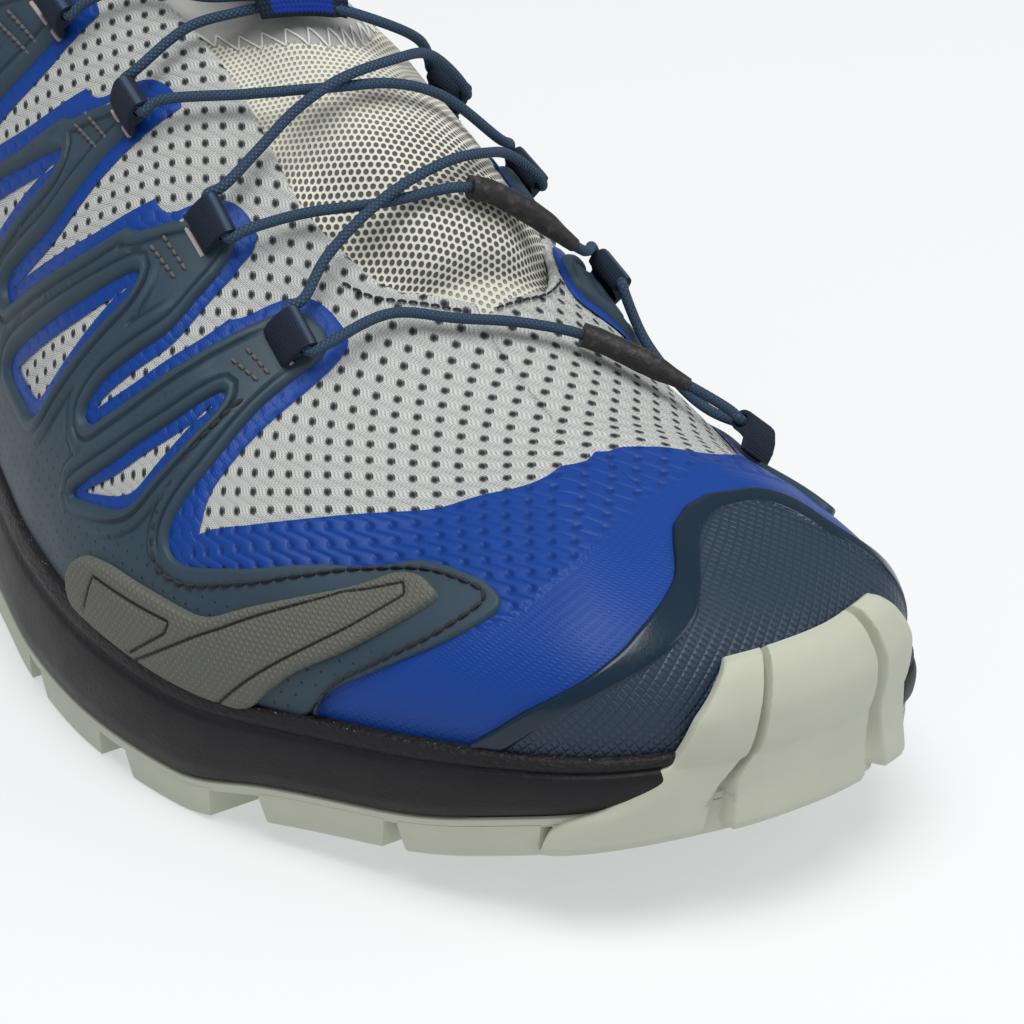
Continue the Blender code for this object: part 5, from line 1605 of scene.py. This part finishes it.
def make_loops(looks):
    """Webbing loops: a strap folded round the lace, with a painted highlight on the ribbed lip at its fold."""
    material = webbing_finish("loop_webbing", looks.loop_colour, looks.loop_fleck, 0.5)
    outline = loop_section()
    eye = STRAP + EYE
    length = path_lengths(np.concatenate([outline, outline[:1]]))
    # painted highlight: the band along the fold's crest that is made paler
    crest_highlight = bump((length / length[-1] - 0.225) / 0.045)
    for loop in SEEN_LOOPS:
        place, points, normal, along = loop_frame(loop)
        batch = Batch()
        rings = []
        places = []
        fold_highlights = []
        for step in np.linspace(-0.5, 0.5, 13):
            narrow = 1 - 0.05 * bump((abs(step) - 0.5) / 0.08)
            middle = np.array((0.0, eye))
            section = middle + (outline - middle) * narrow
            section = np.concatenate([section, section[:1]])
            offset = place + normal * LOOP_BASE + along * step * LOOP_WIDTH
            rings.append(offset + section[:, :1] * points + section[:, 1:] * normal)
            places.append(np.stack([np.full(len(section), step * LOOP_WIDTH / MM), length / MM], -1))
            fold_highlights.append(crest_highlight)
        rings = np.array(rings)
        batch.add(rings, grid_faces(len(rings), len(outline) + 1), np.array(places))
        ends = np.split(np.array(hole_rings(place, points, normal, along)), 2)
        add_end(batch, rings[0][:-1], ends[0], points, normal, False)
        add_end(batch, rings[-1][:-1], ends[1], points, normal, True)
        batch.add(np.concatenate(ends), [face[::-1] for face in grid_faces(2, len(ends[0]), closed=True)])
        plain = np.zeros(batch.count - rings.shape[0] * rings.shape[1])
        marks = {"fold_highlight": np.concatenate([np.array(fold_highlights).ravel(), plain])}
        batch.piece(loop.name + "_strap", material, "webbing", (loop.name,), sharp=40, marks=marks)


def hole_rings(place, points, normal, along):
    """The eye's two ends."""
    ends = []
    for side in (-0.5, 0.5):
        middle = place + normal * EYE_HEIGHT + along * side * LOOP_WIDTH
        for a in np.linspace(0, 2 * math.pi, 24, endpoint=False):
            ends.append(middle + EYE * (math.cos(a) * points + math.sin(a) * normal))
    return ends


def add_end(batch, section, hole, points, normal, flip):
    """The strap's cut side, between its outline and the eye."""
    both = np.concatenate([section, hole])
    flat = [Vector((p.dot(points), p.dot(normal))) for p in both]
    n, m = len(section), len(hole)
    links = [(i, (i + 1) % n) for i in range(n)] + [(n + i, n + (i + 1) % m) for i in range(m)]
    made, _, faces, _, _, _ = delaunay_2d_cdt(flat, links, [], 0, 1e-9)
    if len(made) != len(both):
        raise RuntimeError("a lace loop's outline crosses its eye")
    plane = np.array([tuple(p) for p in flat])
    middle = np.array([plane[list(face)].mean(0) for face in faces])
    good = inside(middle, plane[:n]) & ~inside(middle, plane[n:])
    kept = [list(face)[::-1] if flip else list(face) for face, keep in zip(faces, good) if keep]
    batch.add(both, kept)


def eye_ends(loop, other):
    """Both ends of a loop's eye and the points where the lace turns in, the nearer end first."""
    place, points, normal, along = loop_frame(loop)
    middle = place + normal * EYE_HEIGHT
    ends = []
    for side in (-1, 1):
        end = middle + along * side * (LOOP_WIDTH / 2 + EYE_REACH)
        ends.append((end, end + points * (EYE + STRAP + LACE / 2)))
    return sorted(ends, key=lambda end: np.linalg.norm(end[1] - other))


def strand_path(strand, hold):
    """The lace's way as points: straight inside each loop, and a smooth curve between loops."""
    loops = {loop.name: loop for loop in SEEN_LOOPS}
    stops = [loops[name] for name in strand[::2]]
    ways = [[top_point(way.spine, way.across, way.out) for way in stop] for stop in strand[1::2]]
    near, far = eye_ends(stops[0], ways[0][0])
    path = [near[0] + (far[0] - near[0]) * hold]
    for stop, way in zip(stops[1:], ways):
        enter, leave = eye_ends(stop, way[-1])
        ends = np.array([path[-1], *near, *way, *enter[::-1], leave[0]])
        where = np.linspace(1, len(ends) - 2, (len(ends) - 3) * 12 + 1)
        path += list(curve_through(ends, where))
        near = leave
    path.append(path[-1] + (near[0] - path[-1]) * LAST_HOLD)
    return rounded_path(np.array(path))


def rounded_path(path):
    """The path with its sharp turns at the loops eased, as a cord takes them."""
    fine = evenly(path, 0.0004)
    for _ in range(4):
        fine[1:-1] = (fine[:-2] + 2 * fine[1:-1] + fine[2:]) / 4
    return fine


def make_lace(looks):
    """Both strands, and the two crinkled sleeves on them."""
    cord = Batch()
    paths = [strand_path(STRAND_A, HOLD_A), strand_path(STRAND_B, HOLD_B)]
    for path in paths:
        add_tube(cord, path, looks.lace_width / 2, 12)
    cord.piece("lace_cords", lace_finish(looks), "lace_cord", ("laces",))
    material = sleeve_finish(looks)
    sleeves = (("lace_sleeve_1", paths[1], SLEEVE_1), ("lace_sleeve_2", paths[0], SLEEVE_2))
    for node, path, (start, end) in sleeves:
        stretch = part_of(path, start, end)
        t = np.linspace(0, 1, len(stretch))
        swell = 0.0012 + 0.0008 * ease(t, 0.0, 0.35)
        radius = swell + 0.00006 * np.sin(t * 23) * np.sin(t * 9 + 1)
        sleeve = Batch()
        add_tube(sleeve, stretch, radius, 20)
        sleeve.piece(node + "_tube", material, "sleeve_fabric", (node,), sharp=50)


def midsole_setback(station, height):
    """How far the foam steps back behind the toe bumper at a height over the bumper's foot."""
    foot = sole_height(ring(station)[:, 0]) + BUMPER_FOOT * LUG
    level = np.clip((height - foot) / (bite(station) - foot), 0, 1)
    left = np.interp(level, [row[0] for row in BUMPER_LEFT], [row[1] for row in BUMPER_LEFT])
    near, far = SETBACK_STEPS
    outer = ease(station, left + 0.05, left + 0.20) * near + ease(station, left + 0.3, left + 0.6) * far
    inner = ease(AROUND - station, *SETBACK_INNER) * (near + far)
    return np.where(station <= TOE, outer, inner)


def make_midsole(looks):
    """The foam: a full side with a soft crease, a rim and the dish."""
    stations = np.arange(0, AROUND, 0.05)
    low = sole_height(ring(stations)[:, 0]) + LUG + SHEET + GAP
    top = bite(stations) - GAP
    rows = []
    levels = []
    for share in np.concatenate([[0.0, 0.01, 0.03], np.linspace(0.06, 0.97, 44), [0.985, 1.0]]):
        height = low + (top - low) * share
        round_off = 0.0004 * (ease(0.03 - share, 0, 0.03) + ease(share - 0.97, 0, 0.03))
        out = side_out(share) - midsole_setback(stations, height) - round_off
        rows.append(side_point(stations, out, height))
        levels.append(np.full(len(stations), share))
    floor = bite(stations) - dish_share(row_of(stations)) * FOOT_DEPTH
    rows.append(side_point(stations, -RIM, top))
    rows.append(side_point(stations, -RIM - DISH_SLOPE, floor))
    levels += [np.full(len(stations), 0.9)] * 2
    points = np.concatenate(rows)
    count = len(stations)
    faces = grid_faces(len(rows), count, closed=True)
    faces += cap_faces(0, count, up=False) + cap_faces((len(rows) - 1) * count, count, up=True)
    new_piece(
        "foam_midsole", points, faces, foam_finish(looks), ("midsole",),
        marks={"level": np.concatenate(levels)}, sharp=60,
    )


def tread_point(station, share, height):
    """A point under the sole: its station on the outer side, and the share of the way across."""
    outer = ring(station, np.full(np.shape(station), SIDE[0][1]))
    inner = ring(AROUND - station, np.full(np.shape(station), SIDE[0][1]))
    flat = outer + (inner - outer) * np.asarray(share)[..., None]
    x = flat[..., 0]
    heel, toe = CHEVRON_ENDS
    ends = ease(x, 0.0, heel * LENGTH) * ease(LENGTH - x, 0.0, toe * LENGTH)
    lean = CHEVRON * np.maximum(0.0, 1 - np.abs(2 * np.asarray(share) - 1) * CHEVRON_WIDTH) * ends
    return np.stack([x + lean, flat[..., 1], sole_height(x) + height], -1)


def add_tread_sheet(batch):
    """The outsole's sheet."""
    stations = np.arange(0, AROUND, 0.1)
    count = len(stations)
    x = ring(stations)[:, 0]
    rows = []
    profile = ((0.0, -0.0005), (0.0003, -0.0001), (0.0009, 0.0), (SHEET - 0.0003, 0.0), (SHEET, -0.0004))
    for height, out in profile:
        rows.append(side_point(stations, SIDE[0][1] + out, sole_height(x) + LUG + height))
    faces = grid_faces(len(rows), count, closed=True)
    faces += cap_faces(0, count, up=False) + cap_faces((len(rows) - 1) * count, count, up=True)
    batch.add(np.concatenate(rows), faces)


def add_lug(batch, first, last, start, end):
    """One lug as a tapered block with softened edges, from inside the sheet down to its foot."""
    along = np.linspace(0, 1, 9)
    across = np.linspace(0, 1, 5)
    s, a = np.meshgrid(along, across, indexing="ij")
    station = first + (last - first) * s
    share = start + (end - start) * a
    levels = []
    root = tread_point(station, share, np.full(s.shape, LUG + LUG_ROOT))
    middle = root.reshape(-1, 3).mean(0)
    for height, grow in LUG_LEVELS:
        level = tread_point(station, share, np.full(s.shape, height))
        plan = middle[:2] + (level[..., :2] - middle[:2]) * grow
        z = sole_height(plan[..., 0]) + height
        levels.append(np.concatenate([plan, z[..., None]], -1))
    rows, columns = s.shape
    rim = grid_rim(rows, columns)
    wall = np.concatenate([level.reshape(-1, 3)[rim] for level in levels])
    batch.add(wall, [face[::-1] for face in grid_faces(len(levels), len(rim), closed=True)])
    batch.add(levels[-1], grid_faces(rows, columns))


def make_outsole(looks):
    """The sheet, its lugs and the toe bumper."""
    batch = Batch()
    add_tread_sheet(batch)
    for first, last in LUGS:
        for start, end in LUG_COLUMNS:
            add_lug(batch, first, last, start, end)
    add_bumper(batch)
    batch.piece("sage_outsole", rubber_finish(looks), "sage_rubber", ("outsole",), sharp=45)


def add_bumper(batch):
    """The toe bumper: three swelling panels between two grooves that widen to the foot."""
    knots, rights, outs, heights, climbs = (np.array(column) for column in zip(*BUMPER_ROWS))
    rights = smooth_column(knots, rights)
    outs = smooth_column(knots, outs)
    low_left = [(place * EDGE_LEVEL, station) for place, station in BUMPER_LOW_LEFT]
    lefts = table_curve(low_left + list(BUMPER_TOP_LEFT))
    shares = np.linspace(0, 1, 301)
    front = []
    back = []
    for level in np.linspace(0, 1, 60):
        left = lefts(level)
        right = rights(level)
        station = left + (right - left) * shares
        wide = 0.055 + 0.10 * (1 - level) ** 2
        groove = sum(bump((station - line(level)) / wide) ** 0.6 for line in BUMPER_GROOVES)
        from_end = np.minimum((station - left) / 0.35, (right - station) / 0.10)
        ends = 1 - round_edge(np.maximum(from_end, 0.0), 1.0)
        lip = 0.0007 * ease(level, 0.95, 1.0)
        low_side = 0.0004 * ease(0.04 - level, 0.0, 0.04)
        first_groove = BUMPER_GROOVES[0](level)
        block = 0.0008 * ease(station, first_groove, first_groove + 0.1) * (1 - ease(level, 0.0, 0.3))
        cut = np.minimum(0.85 * np.minimum(groove, 1.0) + 0.40 * ends, 0.9)
        depth = BUMPER * cut + lip + low_side - block
        lowered = 1 - 0.6 * np.minimum(1 - groove, 1) * (1 - level)
        foot = sole_height(ring(station)[:, 0]) + BUMPER_FOOT * LUG * lowered
        height = foot + (bite(station) - foot) * np.interp(level, knots, heights)
        side = side_point(station, 0.0003 - depth, height)
        side_back = side_point(station, -BUMPER, side[:, 2])
        climb = np.interp(level, knots, climbs)
        shell = skin(station, climb, np.maximum(outs(max(level, BUMPER_SHELL[1])), 0.0) - depth)
        shell_back = skin(station, climb, np.full(len(shares), BUMPER_CLEAR - 0.0006))
        over = ease(level, *BUMPER_SHELL)
        front.append(side * (1 - over) + shell * over)
        back.append(side_back * (1 - over) + shell_back * over)
    points, faces = grid_shell(np.array(front), np.array(back))
    batch.add(points, faces)


def dress_insole(looks):
    """The insole keeps its shape and gets a cloth top."""
    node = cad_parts["insole"]
    node.data.materials.clear()
    node.data.materials.append(cloth_finish("insole_cloth", looks.insole_colour, 0.6))


def add_light(name, place, size, power, colour):
    """A round lamp that faces the shoe."""
    lamp = bpy.data.lights.new(name, "AREA")
    lamp.shape = "DISK"
    lamp.size = size
    lamp.energy = power
    lamp.color = colour
    light = bpy.data.objects.new(name, lamp)
    light.location = place
    light.rotation_euler = (Vector(LAMP_AIM) - Vector(place)).to_track_quat("-Z", "Y").to_euler()
    bpy.context.scene.collection.objects.link(light)


def make_floor(stage):
    """A wide pale floor with a faint glow of its own, so that it stays white around the shoe."""
    material = bpy.data.materials.new("pale_floor")
    material.use_nodes = True
    shader = material.node_tree.nodes["Principled BSDF"]
    shader.inputs["Base Color"].default_value = (*stage.floor_colour, 1.0)
    shader.inputs["Roughness"].default_value = 0.8
    shader.inputs["Specular IOR Level"].default_value = 0.1
    shader.inputs["Emission Color"].default_value = (*stage.room_colour, 1.0)
    shader.inputs["Emission Strength"].default_value = stage.floor_glow
    mesh = bpy.data.meshes.new("floor")
    half = stage.floor_half
    corners = [(x * half, y * half, 0) for x, y in ((-1, -1), (1, -1), (1, 1), (-1, 1))]
    mesh.from_pydata(corners, [], [(0, 1, 2, 3)])
    mesh.materials.append(material)
    floor = bpy.data.objects.new("floor", mesh)
    bpy.context.scene.collection.objects.link(floor)


def make_world(stage):
    world = bpy.data.worlds.new("soft_room")
    world.use_nodes = True
    background = world.node_tree.nodes["Background"]
    background.inputs["Color"].default_value = (*stage.room_colour, 1.0)
    background.inputs["Strength"].default_value = stage.room_light
    bpy.context.scene.world = world


def make_camera():
    data = bpy.data.cameras.new("photo_view")
    data.lens = CAMERA_LENS
    data.sensor_width = CAMERA_SENSOR
    camera = bpy.data.objects.new("photo_view", data)
    ahead = CAMERA_AHEAD.normalized()
    right = (CAMERA_RIGHT - ahead * CAMERA_RIGHT.dot(ahead)).normalized()
    turn = Matrix((right, right.cross(ahead), -ahead)).transposed().to_4x4()
    camera.matrix_world = Matrix.Translation(CAMERA_PLACE + Vector(ORIGIN)) @ turn
    bpy.context.scene.collection.objects.link(camera)
    bpy.context.scene.camera = camera


def colour_property(name, description, default):
    return FloatVectorProperty(
        name=name, description=description, default=default, size=3, min=0.0, max=1.0, subtype="COLOR",
    )


def strength_property(name, description, default, unit="NONE"):
    return FloatProperty(name=name, description=description, default=default, min=0.0, unit=unit)


def size_property(name, description, default):
    return FloatProperty(name=name, description=description, default=default, min=0.0, precision=4, unit="LENGTH")


class ShoeLooks(bpy.types.PropertyGroup):
    """Colours and sizes of the shoe."""

    lace_width: size_property("Lace width", "Thickness of the lace", LACE)
    knit_colour: colour_property("Knit", "Yarn of the knitted upper", (0.62, 0.64, 0.62))
    knit_shadow: colour_property("Knit shadow", "Yarn between its stitches", (0.15, 0.16, 0.16))
    # Painted shade seen through the holes of the knit and of the tongue
    hole_shade: colour_property("Holes", "Behind the holes of the meshes", (0.026, 0.030, 0.034))
    tongue_colour: colour_property("Tongue", "Mesh of the tongue", (0.70, 0.69, 0.60))
    pad_colour: colour_property("Pad", "Cloth of the tongue's padded top", (0.32, 0.32, 0.31))
    film_colour: colour_property("Film", "Blue film", (0.004, 0.044, 0.25))
    film_shadow: colour_property("Film shadow", "Blue film in its dents", (0.003, 0.018, 0.13))
    overlay_colour: colour_property("Overlay", "Navy film of the cage", (0.028, 0.052, 0.074))
    overlay_light: colour_property("Overlay light", "Navy film where it is paler", (0.042, 0.070, 0.098))
    cap_colour: colour_property("Toe cap", "Navy film of the toe cap", (0.004, 0.017, 0.035))
    # Painted light on the toe cap's field of scales, which faces up
    lit_cap_field: colour_property("Toe cap scales", "Navy film on the toe cap's scales", (0.024, 0.046, 0.078))
    guard_colour: colour_property("Guard", "Grey rubber of the guard", (0.098, 0.101, 0.086))
    guard_light: colour_property("Guard dots", "Grey rubber on the guard's dots", (0.19, 0.195, 0.165))
    foam_colour: colour_property("Foam", "Black foam of the midsole", (0.007, 0.0065, 0.008))
    foam_light: colour_property("Foam light", "Foam where it is paler", (0.015, 0.014, 0.017))
    rubber_colour: colour_property("Rubber", "Sage rubber of the outsole", (0.44, 0.455, 0.37))
    rubber_light: colour_property("Rubber light", "Rubber where it is paler", (0.50, 0.515, 0.42))
    lace_colour: colour_property("Lace", "Braid of the lace", (0.028, 0.056, 0.098))
    lace_shadow: colour_property("Lace shadow", "Braid between its threads", (0.008, 0.018, 0.034))
    lace_fleck: colour_property("Lace fleck", "Pale threads of the lace", (0.14, 0.21, 0.29))
    loop_colour: colour_property("Loops", "Webbing of the lace loops", (0.010, 0.016, 0.030))
    # Also gives the painted highlight along the loops' fold, at 2.6 times
    loop_fleck: colour_property("Loop fleck", "Raised threads of the webbing", (0.035, 0.052, 0.082))
    sleeve_colour: colour_property("Sleeves", "Cloth of the sleeves on the lace", (0.010, 0.008, 0.0085))
    keeper_colour: colour_property("Keeper", "Strap on the tongue", (0.010, 0.035, 0.28))
    insole_colour: colour_property("Insole", "Cloth of the insole", (0.07, 0.075, 0.085))


class StageLooks(bpy.types.PropertyGroup):
    """Floor, room and lights."""

    floor_colour: colour_property("Floor", "Pale floor", (0.41, 0.414, 0.42))
    floor_glow: strength_property("Floor glow", "Light from the pale floor itself", 0.475)
    room_colour: colour_property("Room", "Light from all round", (0.97, 0.985, 1.0))
    room_light: strength_property("Room light", "Strength of the light all round", 0.36)
    key_power: strength_property("Key light", "Main lamp", 20.0, "POWER")
    fill_power: strength_property("Fill light", "Second lamp", 5.0, "POWER")
    key_width: size_property("Key width", "Width of the main lamp", 1.1)
    fill_width: size_property("Fill width", "Width of the second lamp", 0.9)
    floor_half: size_property("Floor half", "Half the floor's width", 6.0)


class SHOE_OT_sole(bpy.types.Operator):
    """Make the midsole and the outsole, and dress the insole"""

    bl_idname = "shoe.make_sole"
    bl_label = "Sole"

    def execute(self, context):
        looks = context.scene.shoe_looks
        make_midsole(looks)
        make_outsole(looks)
        dress_insole(looks)
        return {"FINISHED"}


class SHOE_OT_upper(bpy.types.Operator):
    """Make the knitted upper and the blue films"""

    bl_idname = "shoe.make_upper"
    bl_label = "Upper and films"

    def execute(self, context):
        looks = context.scene.shoe_looks
        make_upper(looks)
        make_films(looks)
        return {"FINISHED"}


class SHOE_OT_overlays(bpy.types.Operator):
    """Make the cages, the toe cap, the guard and the heel counter"""

    bl_idname = "shoe.make_overlays"
    bl_label = "Overlays"

    def execute(self, context):
        looks = context.scene.shoe_looks
        make_cages(looks)
        make_toe_cap(looks)
        make_guard(looks)
        make_counter()
        return {"FINISHED"}


class SHOE_OT_stitches(bpy.types.Operator):
    """Make the stitches and the slots of the lace loops"""

    bl_idname = "shoe.make_stitches"
    bl_label = "Stitches and slots"

    def execute(self, context):
        make_border_stitches()
        make_slots()
        return {"FINISHED"}


class SHOE_OT_tongue(bpy.types.Operator):
    """Make the tongue, its zigzag and its keeper"""

    bl_idname = "shoe.make_tongue"
    bl_label = "Tongue"

    def execute(self, context):
        looks = context.scene.shoe_looks
        make_tongue(looks)
        make_zigzag()
        make_keeper(looks)
        return {"FINISHED"}


class SHOE_OT_lacing(bpy.types.Operator):
    """Make the lace, its sleeves and its loops"""

    bl_idname = "shoe.make_lacing"
    bl_label = "Lacing"

    def execute(self, context):
        looks = context.scene.shoe_looks
        make_loops(looks)
        make_lace(looks)
        return {"FINISHED"}


class SHOE_OT_stage(bpy.types.Operator):
    """Make the floor, the lights and the camera"""

    bl_idname = "shoe.make_stage"
    bl_label = "Stage"

    def execute(self, context):
        stage = context.scene.shoe_stage
        make_floor(stage)
        make_world(stage)
        add_light("key", KEY_PLACE, stage.key_width, stage.key_power, (1.0, 0.995, 0.98))
        add_light("fill", FILL_PLACE, stage.fill_width, stage.fill_power, (0.98, 0.99, 1.0))
        make_camera()
        context.scene.view_settings.view_transform = "Standard"
        return {"FINISHED"}


OPERATORS = (
    SHOE_OT_sole, SHOE_OT_upper, SHOE_OT_overlays, SHOE_OT_stitches, SHOE_OT_tongue, SHOE_OT_lacing,
    SHOE_OT_stage,
)


class SHOE_PT_looks(bpy.types.Panel):
    """The shoe's pieces and looks"""

    bl_idname = "SHOE_PT_looks"
    bl_label = "Trail shoe"
    bl_space_type = "VIEW_3D"
    bl_region_type = "UI"
    bl_category = "Shoe"

    def draw(self, context):
        for operator in OPERATORS:
            self.layout.operator(operator.bl_idname)
        for settings in (context.scene.shoe_looks, context.scene.shoe_stage):
            for name in settings.__annotations__:
                self.layout.prop(settings, name)


CLASSES = (ShoeLooks, StageLooks, *OPERATORS, SHOE_PT_looks)


def register():
    for one in CLASSES:
        bpy.utils.register_class(one)
    bpy.types.Scene.shoe_looks = PointerProperty(type=ShoeLooks)
    bpy.types.Scene.shoe_stage = PointerProperty(type=StageLooks)


def unregister():
    del bpy.types.Scene.shoe_looks
    del bpy.types.Scene.shoe_stage
    for one in reversed(CLASSES):
        bpy.utils.unregister_class(one)


def main():
    register()
    bpy.ops.shoe.make_sole()
    bpy.ops.shoe.make_upper()
    bpy.ops.shoe.make_overlays()
    bpy.ops.shoe.make_stitches()
    bpy.ops.shoe.make_tongue()
    bpy.ops.shoe.make_lacing()
    bpy.ops.shoe.make_stage()


if __name__ == "__main__":
    main()
